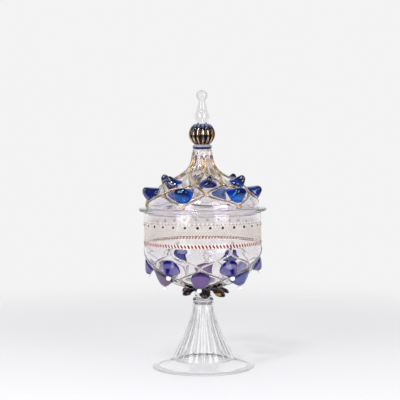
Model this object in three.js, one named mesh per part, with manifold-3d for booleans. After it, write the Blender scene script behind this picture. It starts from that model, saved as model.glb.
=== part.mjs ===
// Covered glass cup: a bowl on a fluted trumpet foot, with a lift-off cover.
// Millimetres, +Z up. The origin is on the table, under the centre of the foot.
// Angles are in degrees, measured from the front (-Y) towards +X.
import * as THREE from 'three';
import { mergeVertices } from 'three/addons/utils/BufferGeometryUtils.js';
import Module from 'manifold-3d';

// Clearance that a piece keeps to the glass it is laid on
const seatGap = 0.3;

// Foot plate
const footRadius = 56.5;
const footEdgeThickness = 2.4;
const footRestWidth = 6;
const footDomeHeight = 8.7;
const footWall = 2.2;
const footDomeHollow = 0.6;

// Fluted trumpet on the foot plate
const coneBaseRadius = 33.5;
const coneTopRadius = 11.2;
const coneHeight = 63.9;
const coneWall = 2.2;
const fluteCount = 16;
const fluteDepth = 1.6;
// How far a ridge, its flank, a crease and the next flank stand out, in shares of the depth
const fluteStops = [0.5, 0.24, -0.5, 0.24];
const coneHandles = { topDown: 0.35, baseOut: 0.53, baseDown: 0.635 };
// Share of the trumpet's height, from its top, in which the flutes come out of the round neck
const fluteFade = 0.5;

// Stem between the trumpet and the bowl
const stemRingRadius = 11.5;
const stemRingHeight = 4.4;
const collarRadius = 9.6;
const collarHeight = 10.5;
const collarWaist = 1.2;

// Bowl: a straight wall that turns in to a narrow bottom
const bowlRadius = 64.2;
const bowlHeight = 84.9;
const bowlTurnHeight = 44;
const bowlBottomRadius = 11;
const bowlWall = 2.2;
const bowlBottomThickness = 4;
const bowlHandles = { turnUp: 0.5, bottomOut: 0.62, bottomUp: 0.14 };

// Cover: flange, locating ring and bell, whose shoulder is a share of its base's radius
const flangeOverhang = 5.9;
const flangeThickness = 3.3;
const locatingDepth = 3.5;
const locatingWall = 2;
const locatingClearance = 1.1;
const bellInset = 2.4;
const bellHeight = 62.3;
const bellWall = 2.2;
const shoulderShare = 0.55;
const shoulderHeight = 30;
const neckRadius = 10.2;
const neckSolidHeight = 8;
// Shares of the drops and widths at which the bell's curve handles lie
const bellHandles = { neckDown: 0.59, flareOut: 0.41, flareDown: 0.79, shoulderOut: 0.5, rimUp: 0.48 };

// Knop and finial
const neckRingRadius = 10.9;
const neckRingHeight = 1.9;
const mereseRadius = 10.8;
const mereseHeight = 5.1;
const knopRadius = 14.6;
const knopHeight = 22.8;
const knopEndRadius = 7.6;
const knopRibCount = 15;
const knopRibAngle = 4;
const knopRibDepth = 1.5;
const knopRibStops = [0.5, 0.24, -0.5, 0.24];
const knopFullness = 0.66;
const balusterHeight = 26;
const balusterRadius = 8.5;
const balusterBellyHeight = 7.8;
const balusterNeckRadius = 5.9;
const balusterNeckHeight = 16.1;
const balusterFootRadius = 5.4;
const balusterTopRadius = 3.4;
const ballRadius = 5.9;

// Pinched net of ribs: each repeat has two ribs, which meet at the nodes
const netRepeats = 6;
const ribHeight = 1.3;
const ribHalfWidth = 2.4;
const ribFadeHeight = 3;
const neckRibShare = 0.6;
// How close two ribs come at a node, in rib half widths, and the most of a cell that a rib's foot takes
const nodePinch = 0.5;
const ribRoom = 0.7;
const rowsBetweenNodes = 3;

// Enamel painted around the bowl's plain wall, from the top down: beads, a scaled band and a rope.
// Top and bottom are shares of the height from the net up to the rim.
const enamelBands = [
  { top: 0.758, bottom: 0.711, lift: 0.4 },
  { top: 0.68, bottom: 0.175, lift: 0.15 },
  { top: 0.164, bottom: 0.055, lift: 0.35 },
];
const enamelBevel = 0.1;

// Node heights on the bell, above the flange, from the neck down
const bellNodeHeights = [47, 27.3, 17.6, 3];
// Node heights on the bowl, above its bottom, from the wall down
const bowlNodeHeights = [43.5, 26.9, 12, 2];
// Angle of a first node, on the bell and on the bowl
const bellNetAngle = 9;
const bowlNetAngle = 27;

// Petals: half the width and length of the seat, and how far the tip stands out and up or down from the seat
const bellUpperPetal = { halfWidth: 10.4, halfLength: 8, tipOut: 6.8, tipRise: 6.6, pearlRadius: 2.3 };
const bellLowerPetal = { halfWidth: 11.3, halfLength: 10.4, tipOut: 9.4, tipRise: 5, pearlRadius: 2.4 };
const bowlUpperPetal = { halfWidth: 10.8, halfLength: 9.5, tipOut: 0.8, tipRise: -9.6, pearlRadius: 2.7 };
const bowlLowerPetal = { halfWidth: 11.4, halfLength: 12, tipOut: -1.5, tipRise: -10.4, pearlRadius: 2.7 };
// Petals sit at the height where their cell is widest, moved by these amounts on the lower rows
const bellLowerSeatDrop = 1.4;
const bowlLowerSeatRise = 2.8;
const petalTipHalfWidth = 4.6;
const petalTipHalfThickness = 2.6;
const petalFaceBulge = 1.2;
const petalRootDepth = 3;
const petalSides = 8;
const petalStations = [0, 0.5, 0.9];
const pearlStandOut = 1;

// Dark leaves around the stem collar: how far the tips reach from the axis and hang below the bowl's bottom,
// and half the width of a leaf
const leafReach = 29.6;
const leafDrop = 9.2;
const leafHalfWidth = 8.6;
// They were drawn out unevenly: the angle of each leaf, and its shares of these lengths
const leafTips = [
  { angle: 5, reach: 0.88, drop: 1, width: 0.77 },
  { angle: 55, reach: 0.95, drop: 0.98, width: 0.95 },
  { angle: 100, reach: 1, drop: 0.74, width: 1 },
  { angle: 165, reach: 0.93, drop: 0.76, width: 1 },
  { angle: 240, reach: 0.86, drop: 0.61, width: 0.95 },
  { angle: 300, reach: 0.84, drop: 0.84, width: 0.88 },
];
const leafArchRadius = 21;
const leafArchRise = 3.5;
const leafRootHalfWidth = 4.6;
const leafHalfThickness = 1.4;
const leafRootSwell = 0.16;
const leafStations = [0, 0.3, 0.6, 0.88];

// Facets of round pieces
const roundSegments = 48;
const hollowSegments = 36;
const pieceSegments = 24;
const pearlSegments = 6;
const edgeSteps = 4;
const hollowSteps = 8;
const coneSteps = 8;
const knopSteps = 8;
const domeSteps = 4;
const finialSteps = 10;
const ballSteps = 8;
const ballSegments = 16;

// Heights, stacked from the table up
const coneBase = footDomeHeight;
const stemRingBase = coneBase + coneHeight;
const collarBase = stemRingBase + stemRingHeight;
const bowlBase = collarBase + collarHeight;
const rimHeight = bowlBase + bowlHeight;
const bellBase = rimHeight + flangeThickness;
const neckRingBase = bellBase + bellHeight;
const mereseBase = neckRingBase + neckRingHeight;
const knopBase = mereseBase + mereseHeight;
const balusterBase = knopBase + knopHeight;
const ballBase = balusterBase + balusterHeight;

// Radii that follow from the bowl
const flangeRadius = bowlRadius + flangeOverhang;
const bellRadius = bowlRadius - bellInset;
const locatingRadius = bowlRadius - bowlWall - locatingClearance;
const shoulderRadius = bellRadius * shoulderShare;

const wasm = await Module();
wasm.setup();

const lerp = THREE.MathUtils.lerp;
const toRadians = THREE.MathUtils.degToRad;
const repeatAngle = 360 / netRepeats;

const clearGlass = { color: 0xe9eef2, roughness: 0.04, metalness: 0 };
const cobaltGlass = { color: 0x0d2f9c, roughness: 0.06, metalness: 0 };
const violetGlass = { color: 0x54459c, roughness: 0.06, metalness: 0 };
const amethystGlass = { color: 0x2b1430, roughness: 0.08, metalness: 0 };
const pearlGlass = { color: 0xf4f2ee, roughness: 0.15, metalness: 0 };
const knopGlass = { color: 0x141a4a, roughness: 0.08, metalness: 0 };

const cup = new THREE.Group();
const standingCup = new THREE.Group();
const cover = new THREE.Group();
cup.add(standingCup, cover);

// Point at an angle around the axis, shifted sideways along the tangent
function around(radius, angle, height, sideways = 0) {
  const a = toRadians(angle);
  const x = radius * Math.sin(a) + sideways * Math.cos(a);
  const y = -radius * Math.cos(a) + sideways * Math.sin(a);
  return new THREE.Vector3(x, y, height);
}

function signedVolume(points, faces) {
  const triple = ([a, b, c]) => points[a].dot(new THREE.Vector3().crossVectors(points[b], points[c]));
  return faces.reduce((sum, face) => sum + triple(face) / 6, 0);
}

function geometryOf(points, faces) {
  const out = signedVolume(points, faces) > 0 ? faces : faces.map(([a, b, c]) => [a, c, b]);
  const geometry = new THREE.BufferGeometry().setFromPoints(points);
  geometry.setIndex(out.flat());
  return geometry;
}

// Closed skin over a stack of rings, each end closed by a point, or the last ring joined to the first
function skin(rings, firstPoint, lastPoint) {
  const sides = rings[0].length;
  const points = rings.flat();
  const faces = [];
  const joins = firstPoint ? rings.length - 1 : rings.length;
  for (let row = 0; row < joins; row += 1) {
    const upper = row * sides;
    const lower = ((row + 1) % rings.length) * sides;
    for (let i = 0; i < sides; i += 1) {
      const next = (i + 1) % sides;
      faces.push([upper + i, lower + i, lower + next]);
      faces.push([upper + i, lower + next, upper + next]);
    }
  }
  if (firstPoint) {
    const first = points.push(firstPoint) - 1;
    const last = points.push(lastPoint) - 1;
    const lastRing = (rings.length - 1) * sides;
    for (let i = 0; i < sides; i += 1) {
      const next = (i + 1) % sides;
      faces.push([first, i, next]);
      faces.push([last, lastRing + next, lastRing + i]);
    }
  }
  return geometryOf(points, faces);
}

// Solid for joining and cutting, from any closed geometry
function toSolid(geometry) {
  const bare = geometry.clone();
  bare.deleteAttribute('normal');
  bare.deleteAttribute('uv');
  const merged = mergeVertices(bare);
  const vertProperties = new Float32Array(merged.attributes.position.array);
  const triVerts = new Uint32Array(merged.index.array);
  return new wasm.Manifold(new wasm.Mesh({ numProp: 3, vertProperties, triVerts }));
}

function fromSolid(solid) {
  const mesh = solid.getMesh();
  const geometry = new THREE.BufferGeometry();
  geometry.setAttribute('position', new THREE.BufferAttribute(mesh.vertProperties, 3));
  geometry.setIndex(new THREE.BufferAttribute(mesh.triVerts, 1));
  return geometry;
}

// Solid of revolution about Z, from [radius, height] pairs
function turned(outline, segments = roundSegments) {
  const points = outline.map(([radius, height]) => new THREE.Vector2(radius, height));
  const geometry = new THREE.LatheGeometry(points, segments);
  geometry.rotateX(Math.PI / 2);
  return geometry;
}

// Half-round edge of a disc, from its underside up
function roundEdge(radius, base, thickness) {
  const half = thickness / 2;
  return Array.from({ length: edgeSteps + 1 }, (_, step) => {
    const a = -Math.PI / 2 + (Math.PI * step) / edgeSteps;
    return [radius - half + half * Math.cos(a), base + half + half * Math.sin(a)];
  });
}

function addPiece(group, name, geometry, finish) {
  const mesh = new THREE.Mesh(geometry, new THREE.MeshStandardMaterial(finish));
  mesh.name = name;
  group.add(mesh);
}

const point2 = (radius, height) => new THREE.Vector2(radius, height);

// Outline of the bell: a drawn neck that flares to the shoulder, then turns down to the flange
function bellOutline() {
  const neck = point2(neckRadius, bellBase + bellHeight);
  const shoulder = point2(shoulderRadius, bellBase + shoulderHeight);
  const rim = point2(bellRadius, bellBase);
  const neckHandle = point2(neckRadius, lerp(neck.y, shoulder.y, bellHandles.neckDown));
  const flareHandle = point2(
    lerp(neck.x, shoulder.x, bellHandles.flareOut),
    lerp(neck.y, shoulder.y, bellHandles.flareDown),
  );
  const flare = shoulder.clone().sub(flareHandle).normalize();
  const shoulderReach = (bellRadius - shoulderRadius) * bellHandles.shoulderOut;
  const shoulderHandle = shoulder.clone().addScaledVector(flare, shoulderReach);
  const rimHandle = point2(bellRadius, lerp(rim.y, shoulder.y, bellHandles.rimUp));
  const path = new THREE.CurvePath();
  path.add(new THREE.CubicBezierCurve(neck, neckHandle, flareHandle, shoulder));
  path.add(new THREE.CubicBezierCurve(shoulder, shoulderHandle, rimHandle, rim));
  return path;
}

// Outline of the bowl: a straight wall, then a turn in to the bottom
function bowlOutline() {
  const rim = point2(bowlRadius, rimHeight);
  const turn = point2(bowlRadius, bowlBase + bowlTurnHeight);
  const bottom = point2(bowlBottomRadius, bowlBase);
  const turnHandle = point2(bowlRadius, bowlBase + bowlTurnHeight * bowlHandles.turnUp);
  const bottomHandle = point2(
    lerp(bowlBottomRadius, bowlRadius, bowlHandles.bottomOut),
    bowlBase + bowlTurnHeight * bowlHandles.bottomUp,
  );
  const path = new THREE.CurvePath();
  path.add(new THREE.LineCurve(rim, turn));
  path.add(new THREE.CubicBezierCurve(turn, turnHandle, bottomHandle, bottom));
  return path;
}

// Share of an outline's length at which it passes a height; outlines run downwards
function placeAtHeight(outline, height) {
  let above = 0;
  let below = 1;
  for (let step = 0; step < 40; step += 1) {
    const middle = (above + below) / 2;
    if (outline.getPoint(middle).y > height) above = middle;
    else below = middle;
  }
  return (above + below) / 2;
}

// Outward direction of an outline that runs downwards
function outwardAt(outline, place) {
  const before = outline.getPoint(Math.max(place - 0.002, 0));
  const after = outline.getPoint(Math.min(place + 0.002, 1));
  const along = after.sub(before).normalize();
  return point2(-along.y, along.x);
}

function offsetPoint(outline, place, offset) {
  return outline.getPoint(place).addScaledVector(outwardAt(outline, place), offset);
}

// Rows of the net from the top down: where each is, how open the cell is there and how high its ribs stand.
// The rows between two nodes follow the ribs' smooth zigzag. Rows may also stand out whole, by their lift,
// and have their columns evenly spaced, where there are no ribs.
function netRows(nodes) {
  const rows = [];
  nodes.slice(1).forEach((to, i) => {
    const from = nodes[i];
    const steps = to.open === from.open || from.isEven ? 1 : rowsBetweenNodes;
    for (let step = 0; step < steps; step += 1) {
      const share = step / steps;
      const eased = (1 - Math.cos(Math.PI * share)) / 2;
      rows.push({
        ...from,
        place: lerp(from.place, to.place, share),
        open: lerp(from.open, to.open, eased),
        rib: lerp(from.rib, to.rib, share),
      });
    }
  });
  rows.push(nodes.at(-1));
  return rows;
}

// One ring of the net: in each half cell a middle, a quarter, a rib's foot, its crest and its other foot
function netRing(outline, row, firstAngle, offset) {
  const { x: radius, y: level } = outline.getPoint(row.place);
  const isEnd = row.place === 0 || row.place === 1;
  const foot = THREE.MathUtils.radToDeg(ribHalfWidth / radius);
  const pinch = Math.min(foot * nodePinch, repeatAngle / 8);
  const half = repeatAngle / 2;
  const crest = lerp(pinch, half - pinch, row.open);
  const innerFoot = crest - Math.min(foot, crest * ribRoom);
  const outerFoot = crest + Math.min(foot, (half - crest) * ribRoom);
  const stops = [
    [0, 0],
    [innerFoot / 2, 0],
    [innerFoot, 0],
    [crest, 1],
    [outerFoot, 0],
    [(outerFoot + half) / 2, 0],
  ];
  const mirrored = stops.slice(1).reverse().map(([angle, rise]) => [repeatAngle - angle, rise]);
  const uneven = [...stops, [half, 0], ...mirrored];
  const columns = row.isEven ? uneven.map((_, i) => [(i * repeatAngle) / uneven.length, 0]) : uneven;
  const ring = [];
  for (let repeat = 0; repeat < netRepeats; repeat += 1) {
    for (const [angle, rise] of columns) {
      const point = offsetPoint(outline, row.place, offset + row.lift + rise * row.rib * ribHeight);
      const height = isEnd ? level : point.y;
      ring.push(around(point.x, firstAngle + repeat * repeatAngle + angle, height));
    }
  }
  return ring;
}

// Full body under a netted outline, from the axis out to the glass, grown by an offset
function nettedBody(outline, rows, firstAngle, offset) {
  const rings = rows.map((row) => netRing(outline, row, firstAngle, offset));
  const top = new THREE.Vector3(0, 0, rings[0][0].z);
  const bottom = new THREE.Vector3(0, 0, rings.at(-1)[0].z);
  return toSolid(skin(rings, top, bottom));
}

// Hollow inside a netted body: the outline moved in by the wall, closed on the axis at both ends
function hollow(outline, wall, top, bottom) {
  const [from, to] = [placeAtHeight(outline, top), placeAtHeight(outline, bottom)];
  const wallLine = [];
  for (let i = 0; i <= hollowSteps; i += 1) {
    const point = offsetPoint(outline, lerp(from, to, i / hollowSteps), -wall);
    wallLine.push([point.x, point.y]);
  }
  const [first, last] = [wallLine[0], wallLine.at(-1)];
  const section = [[0, last[1]], ...wallLine.reverse(), [0, first[1]]];
  return toSolid(turned(section, hollowSegments));
}

const bellLine = bellOutline();
const bowlLine = bowlOutline();
const bellNodes = bellNodeHeights.map((height) => bellBase + height);
const bowlNodes = bowlNodeHeights.map((height) => bowlBase + height);

function pinched(outline, heights) {
  const places = heights.map((height) => placeAtHeight(outline, height));
  return places.map((place, i) => ({ place, open: i % 2, rib: 1, lift: 0 }));
}

// Plain row at a height, with evenly spaced columns
function plainRow(outline, height, lift = 0) {
  return { place: placeAtHeight(outline, height), open: 0, rib: 0, lift, isEven: true };
}

const netTop = bowlNodes[0] + ribFadeHeight;
const enamelRows = enamelBands.flatMap(({ top, bottom, lift }) => {
  const [high, low] = [lerp(netTop, rimHeight, top), lerp(netTop, rimHeight, bottom)];
  return [
    plainRow(bowlLine, high + enamelBevel),
    plainRow(bowlLine, high - enamelBevel, lift),
    plainRow(bowlLine, low + enamelBevel, lift),
    plainRow(bowlLine, low - enamelBevel),
  ];
});
const bellRows = netRows([
  { place: 0, open: 0.5, rib: neckRibShare, lift: 0 },
  ...pinched(bellLine, bellNodes),
  { place: 1, open: 1, rib: 0, lift: 0, isEven: true },
]);
const bowlRows = netRows([
  { place: 0, open: 0, rib: 0, lift: 0, isEven: true },
  ...enamelRows,
  plainRow(bowlLine, netTop),
  ...pinched(bowlLine, bowlNodes),
  { place: 1, open: 1, rib: 0, lift: 0 },
]);
const bellBody = nettedBody(bellLine, bellRows, bellNetAngle, 0);
const bowlBody = nettedBody(bowlLine, bowlRows, bowlNetAngle, 0);
const bellClearance = nettedBody(bellLine, bellRows, bellNetAngle, seatGap);
const bowlClearance = nettedBody(bowlLine, bowlRows, bowlNetAngle, seatGap);

function footDisc() {
  const restInner = footRadius - footEdgeThickness / 2 - footRestWidth;
  const coneSeat = coneBaseRadius + fluteDepth;
  const boreRadius = coneBaseRadius - coneWall - fluteDepth;
  const handle = point2(lerp(coneSeat, footRadius, footDomeHollow), footEdgeThickness);
  const edgeTop = point2(footRadius - footEdgeThickness / 2, footEdgeThickness);
  const dome = new THREE.QuadraticBezierCurve(edgeTop, handle, point2(coneSeat, footDomeHeight));
  const top = dome.getPoints(domeSteps).slice(1);
  const under = [...top].reverse().slice(1).filter((point) => point.x < restInner);
  return turned([
    [restInner, 0],
    ...roundEdge(footRadius, 0, footEdgeThickness),
    ...top.map((point) => [point.x, point.y]),
    [boreRadius, footDomeHeight],
    [boreRadius, footDomeHeight - footWall],
    ...under.map((point) => [point.x, point.y - footWall]),
    [restInner, 0],
  ]);
}

function footCone() {
  const top = point2(coneTopRadius, coneBase + coneHeight);
  const base = point2(coneBaseRadius, coneBase);
  const topHandle = point2(coneTopRadius, lerp(top.y, base.y, coneHandles.topDown));
  const baseHandle = point2(
    lerp(coneTopRadius, coneBaseRadius, coneHandles.baseOut),
    lerp(top.y, base.y, coneHandles.baseDown),
  );
  const outline = new THREE.CubicBezierCurve(top, topHandle, baseHandle, base);
  const stops = fluteStops.length;
  const columns = fluteCount * stops;
  const ring = (share, inset) => {
    const point = outline.getPoint(share);
    const depth = fluteDepth * Math.min(1, share / fluteFade);
    return Array.from({ length: columns }, (_, i) => {
      const radius = point.x + fluteStops[i % stops] * depth - inset;
      return around(radius, 180 / fluteCount + (i * 360) / columns, point.y);
    });
  };
  const shares = Array.from({ length: coneSteps + 1 }, (_, i) => i / coneSteps);
  const outer = shares.map((share) => ring(share, 0));
  const inner = shares.map((share) => ring(share, coneWall)).reverse();
  return skin([...outer, ...inner]);
}

// Solid disc with a half-round edge
function roundedDisc(radius, height, base) {
  return turned([[0, base], ...roundEdge(radius, base, height), [0, base + height]], pieceSegments);
}

function stemCollar() {
  const waist = collarRadius - collarWaist;
  const outline = new THREE.QuadraticBezierCurve(
    point2(collarRadius, collarBase),
    point2(waist, collarBase + collarHeight / 2),
    point2(collarRadius, bowlBase),
  );
  const side = outline.getPoints(domeSteps).map((point) => [point.x, point.y]);
  return turned([[0, collarBase], ...side, [0, bowlBase]], pieceSegments);
}

// Short plug that opens a shell's mouth past its end face
function plug(radius, height) {
  const section = [[0, height - 1], [radius, height - 1], [radius, height + 1], [0, height + 1]];
  return toSolid(turned(section, hollowSegments));
}

function bowl() {
  const cavity = hollow(bowlLine, bowlWall, rimHeight, bowlBase + bowlBottomThickness);
  return fromSolid(bowlBody.subtract(cavity).subtract(plug(bowlRadius - bowlWall, rimHeight)));
}

function coverBell() {
  const cavity = hollow(bellLine, bellWall, neckRingBase - neckSolidHeight, bellBase);
  return fromSolid(bellBody.subtract(cavity).subtract(plug(bellRadius - bellWall, bellBase)));
}

function coverFlange() {
  const bore = locatingRadius - locatingWall;
  const edge = roundEdge(flangeRadius, rimHeight, flangeThickness);
  return turned([[bore, rimHeight], ...edge, [bore, bellBase], [bore, rimHeight]]);
}

function locatingRing() {
  const bore = locatingRadius - locatingWall;
  const low = rimHeight - locatingDepth;
  return turned([
    [bore, low],
    [locatingRadius, low],
    [locatingRadius, rimHeight],
    [bore, rimHeight],
    [bore, low],
  ]);
}

function knop() {
  const stops = knopRibStops.length;
  const columns = knopRibCount * stops;
  const rings = [];
  for (let i = 0; i <= knopSteps; i += 1) {
    const share = i / knopSteps;
    const swell = Math.sin(Math.PI * share) ** knopFullness;
    const radius = lerp(knopEndRadius, knopRadius - knopRibDepth / 2, swell);
    const depth = knopRibDepth * swell;
    const height = knopBase + knopHeight * share;
    const ring = [];
    for (let column = 0; column < columns; column += 1) {
      const rise = knopRibStops[column % stops] * depth;
      ring.push(around(radius + rise, knopRibAngle + (column * 360) / columns, height));
    }
    rings.push(ring);
  }
  return skin(rings, new THREE.Vector3(0, 0, knopBase), new THREE.Vector3(0, 0, balusterBase));
}

function finialBaluster() {
  const outline = new THREE.SplineCurve([
    point2(balusterFootRadius, balusterBase),
    point2(balusterRadius, balusterBase + balusterBellyHeight),
    point2(balusterNeckRadius, balusterBase + balusterNeckHeight),
    point2(balusterTopRadius, ballBase),
  ]);
  const side = outline.getPoints(finialSteps).map((point) => [point.x, point.y]);
  return turned([[0, balusterBase], ...side, [0, ballBase]], pieceSegments);
}

function finialBall() {
  const seat = Math.asin(balusterTopRadius / ballRadius);
  const centre = ballBase + ballRadius * Math.cos(seat);
  const side = [];
  for (let step = 0; step < ballSteps; step += 1) {
    const a = seat + ((Math.PI - seat) * step) / ballSteps;
    side.push([ballRadius * Math.sin(a), centre - ballRadius * Math.cos(a)]);
  }
  return turned([[0, ballBase], ...side, [0, centre + ballRadius]], ballSegments);
}

// A petal in the plane through the axis: its outer face starts at the end of its seat, away from the tip
function petalLines(outline, seatHeight, petal) {
  const place = placeAtHeight(outline, seatHeight);
  const reach = (petal.halfLength / outline.getLength()) * Math.sign(petal.tipRise);
  const seat = outline.getPoint(place);
  const outward = outwardAt(outline, place);
  const tip = seat.clone().add(point2(petal.tipOut, petal.tipRise));
  const run = tip.clone().sub(seat).normalize();
  const side = point2(-run.y, run.x).multiplyScalar(Math.sign(petal.tipRise) * -petalTipHalfThickness);
  const faceStart = outline.getPoint(place + reach);
  const backStart = outline.getPoint(place - reach);
  const faceEnd = tip.clone().add(side);
  const backEnd = tip.clone().sub(side);
  const bulge = side.clone().setLength(petalFaceBulge);
  const faceMiddle = faceStart.clone().lerp(faceEnd, 0.5).add(bulge);
  const backMiddle = backStart.clone().lerp(backEnd, 0.5).add(bulge);
  return {
    face: new THREE.QuadraticBezierCurve(faceStart, faceMiddle, faceEnd),
    back: new THREE.QuadraticBezierCurve(backStart, backMiddle, backEnd),
    tip,
    run,
    outward,
  };
}

function petalRing(face, back, halfWidth, angle) {
  return Array.from({ length: petalSides }, (_, i) => {
    const a = (2 * Math.PI * i) / petalSides;
    const point = back.clone().lerp(face, (1 + Math.cos(a)) / 2);
    return around(point.x, angle, point.y, halfWidth * Math.sin(a));
  });
}

function ball(radius, centre) {
  const sphere = new THREE.SphereGeometry(radius, pearlSegments, pearlSegments - 2);
  return sphere.translate(centre.x, centre.y, centre.z);
}

// Petal, cut to the glass that it lies on, and the middle of the pearl on its tip
function petalBody(outline, clearance, seatHeight, petal, angle) {
  const lines = petalLines(outline, seatHeight, petal);
  const rootShift = lines.outward.clone().multiplyScalar(-petalRootDepth);
  const rings = [];
  const faceRoot = lines.face.getPoint(0).add(rootShift);
  const backRoot = lines.back.getPoint(0).add(rootShift);
  rings.push(petalRing(faceRoot, backRoot, petal.halfWidth, angle));
  for (const share of petalStations) {
    const narrowing = (1 - (petalTipHalfWidth / petal.halfWidth) ** 2) * share ** 2;
    const halfWidth = petal.halfWidth * Math.sqrt(1 - narrowing);
    rings.push(petalRing(lines.face.getPoint(share), lines.back.getPoint(share), halfWidth, angle));
  }
  const root = faceRoot.clone().lerp(backRoot, 0.5);
  const first = around(root.x, angle, root.y);
  const last = around(lines.tip.x, angle, lines.tip.y);
  const pearl = lines.tip.clone().addScaledVector(lines.run, pearlStandOut);
  const body = toSolid(skin(rings, first, last)).subtract(clearance);
  return { body, pearlCentre: around(pearl.x, angle, pearl.y) };
}

// The bowl's petals hold their pearls as separate pieces
function addBowlPetals(row, seatHeight, petal, firstAngle) {
  for (let i = 0; i < netRepeats; i += 1) {
    const angle = firstAngle + i * repeatAngle;
    const { body, pearlCentre } = petalBody(bowlLine, bowlClearance, seatHeight, petal, angle);
    const socket = toSolid(ball(petal.pearlRadius + seatGap, pearlCentre));
    addPiece(standingCup, `bowl_${row}_petal_${i + 1}`, fromSolid(body.subtract(socket)), violetGlass);
    addPiece(standingCup, `bowl_${row}_pearl_${i + 1}`, ball(petal.pearlRadius, pearlCentre), pearlGlass);
  }
}

// The cover's pearls are melted into the petals' tips
function addCoverPetals(row, seatHeight, petal, firstAngle) {
  for (let i = 0; i < netRepeats; i += 1) {
    const angle = firstAngle + i * repeatAngle;
    const { body, pearlCentre } = petalBody(bellLine, bellClearance, seatHeight, petal, angle);
    const pearl = toSolid(ball(petal.pearlRadius, pearlCentre));
    addPiece(cover, `cover_${row}_petal_${i + 1}`, fromSolid(body.add(pearl)), cobaltGlass);
  }
}

// Half the angle from a leaf to the nearer of its neighbours
function leafRoom(index) {
  const gaps = [-1, 1].map((side) => {
    const neighbour = leafTips[(index + side + leafTips.length) % leafTips.length];
    return THREE.MathUtils.euclideanModulo((neighbour.angle - leafTips[index].angle) * side, 360);
  });
  return Math.min(...gaps) / 2;
}

function whorlLeaf(index) {
  const { angle, reach, drop, width } = leafTips[index];
  const start = point2(collarRadius - 1, bowlBase - 1);
  const tip = point2(leafReach * reach, bowlBase - leafDrop * drop);
  const path = new THREE.QuadraticBezierCurve(start, point2(leafArchRadius, bowlBase + leafArchRise), tip);
  const rings = leafStations.map((share) => {
    const point = path.getPoint(share);
    const along = path.getTangent(share);
    const across = point2(-along.y, along.x).multiplyScalar(leafHalfThickness);
    const swell = Math.sin(Math.PI * lerp(leafRootSwell, 1 - leafRootSwell, share));
    const room = point.x * Math.tan(toRadians(leafRoom(index))) - seatGap;
    const halfWidth = Math.min(lerp(leafRootHalfWidth, leafHalfWidth * width, swell), room);
    return petalRing(point.clone().add(across), point.clone().sub(across), halfWidth, angle);
  });
  const first = around(start.x, angle, start.y);
  const last = around(tip.x, angle, tip.y);
  const space = collarRadius + seatGap;
  const section = [[0, collarBase], [space, collarBase], [space, bowlBase + 1], [0, bowlBase + 1]];
  const collarSpace = toSolid(turned(section, pieceSegments));
  const leaf = toSolid(skin(rings, first, last));
  return fromSolid(leaf.subtract(bowlClearance).subtract(collarSpace));
}

addPiece(standingCup, 'foot_disc', footDisc(), clearGlass);
addPiece(standingCup, 'foot_cone', footCone(), clearGlass);
addPiece(standingCup, 'stem_ring', roundedDisc(stemRingRadius, stemRingHeight, stemRingBase), clearGlass);
addPiece(standingCup, 'stem_collar', stemCollar(), clearGlass);
addPiece(standingCup, 'bowl', bowl(), clearGlass);
for (let i = 0; i < leafTips.length; i += 1) {
  addPiece(standingCup, `whorl_leaf_${i + 1}`, whorlLeaf(i), amethystGlass);
}
addBowlPetals('upper', bowlNodes[1], bowlUpperPetal, bowlNetAngle);
addBowlPetals('lower', bowlNodes[2] + bowlLowerSeatRise, bowlLowerPetal, bowlNetAngle + repeatAngle / 2);

addPiece(cover, 'cover_flange', coverFlange(), clearGlass);
addPiece(cover, 'cover_locating_ring', locatingRing(), clearGlass);
addPiece(cover, 'cover_bell', coverBell(), clearGlass);
addCoverPetals('upper', bellNodes[1], bellUpperPetal, bellNetAngle);
addCoverPetals('lower', bellNodes[2] - bellLowerSeatDrop, bellLowerPetal, bellNetAngle + repeatAngle / 2);
addPiece(cover, 'neck_ring', roundedDisc(neckRingRadius, neckRingHeight, neckRingBase), clearGlass);
addPiece(cover, 'neck_merese', roundedDisc(mereseRadius, mereseHeight, mereseBase), clearGlass);
addPiece(cover, 'knop', knop(), knopGlass);
addPiece(cover, 'finial_baluster', finialBaluster(), clearGlass);
addPiece(cover, 'finial_ball', finialBall(), clearGlass);

export default cup;
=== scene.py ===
import math
import random
from bisect import bisect_right

import bpy
from mathutils import Matrix, Vector, noise


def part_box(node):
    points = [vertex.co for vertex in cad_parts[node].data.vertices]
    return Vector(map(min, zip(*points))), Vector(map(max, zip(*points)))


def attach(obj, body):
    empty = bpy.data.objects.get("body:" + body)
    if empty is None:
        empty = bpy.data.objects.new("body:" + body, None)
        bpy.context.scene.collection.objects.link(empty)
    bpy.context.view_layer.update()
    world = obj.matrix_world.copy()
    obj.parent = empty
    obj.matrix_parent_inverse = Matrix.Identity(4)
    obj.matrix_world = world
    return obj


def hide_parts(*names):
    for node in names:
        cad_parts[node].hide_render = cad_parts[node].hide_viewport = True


# Covered glass cup: clear blown glass with a pinched net of gilded ribs, blue and violet petals with white
# pearls, and enamel on the bowl. Lengths are metres, angles degrees from the front (-Y) towards +X.
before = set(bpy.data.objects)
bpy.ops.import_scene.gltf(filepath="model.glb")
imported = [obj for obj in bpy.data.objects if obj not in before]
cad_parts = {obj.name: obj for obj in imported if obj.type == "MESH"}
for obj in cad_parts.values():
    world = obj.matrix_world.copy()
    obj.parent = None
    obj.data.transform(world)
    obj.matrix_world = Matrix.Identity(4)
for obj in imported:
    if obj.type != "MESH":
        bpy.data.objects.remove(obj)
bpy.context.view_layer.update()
mm = 0.001
hair = 0.05 * mm            # air between two pieces that touch
print("frame loaded:", len(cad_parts), "nodes")


def lerp(a, b, share):
    return a + (b - a) * share


def smooth(low, high, value):
    share = min(max((value - low) / (high - low), 0.0), 1.0)
    return share * share * (3 - 2 * share)


# 1 up to a start, then down to 0 at a share of 1, as a round end does
def roundEnd(start, share):
    return math.sqrt(max(1 - (max(share - start, 0.0) / (1 - start)) ** 2, 0.0))


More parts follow.
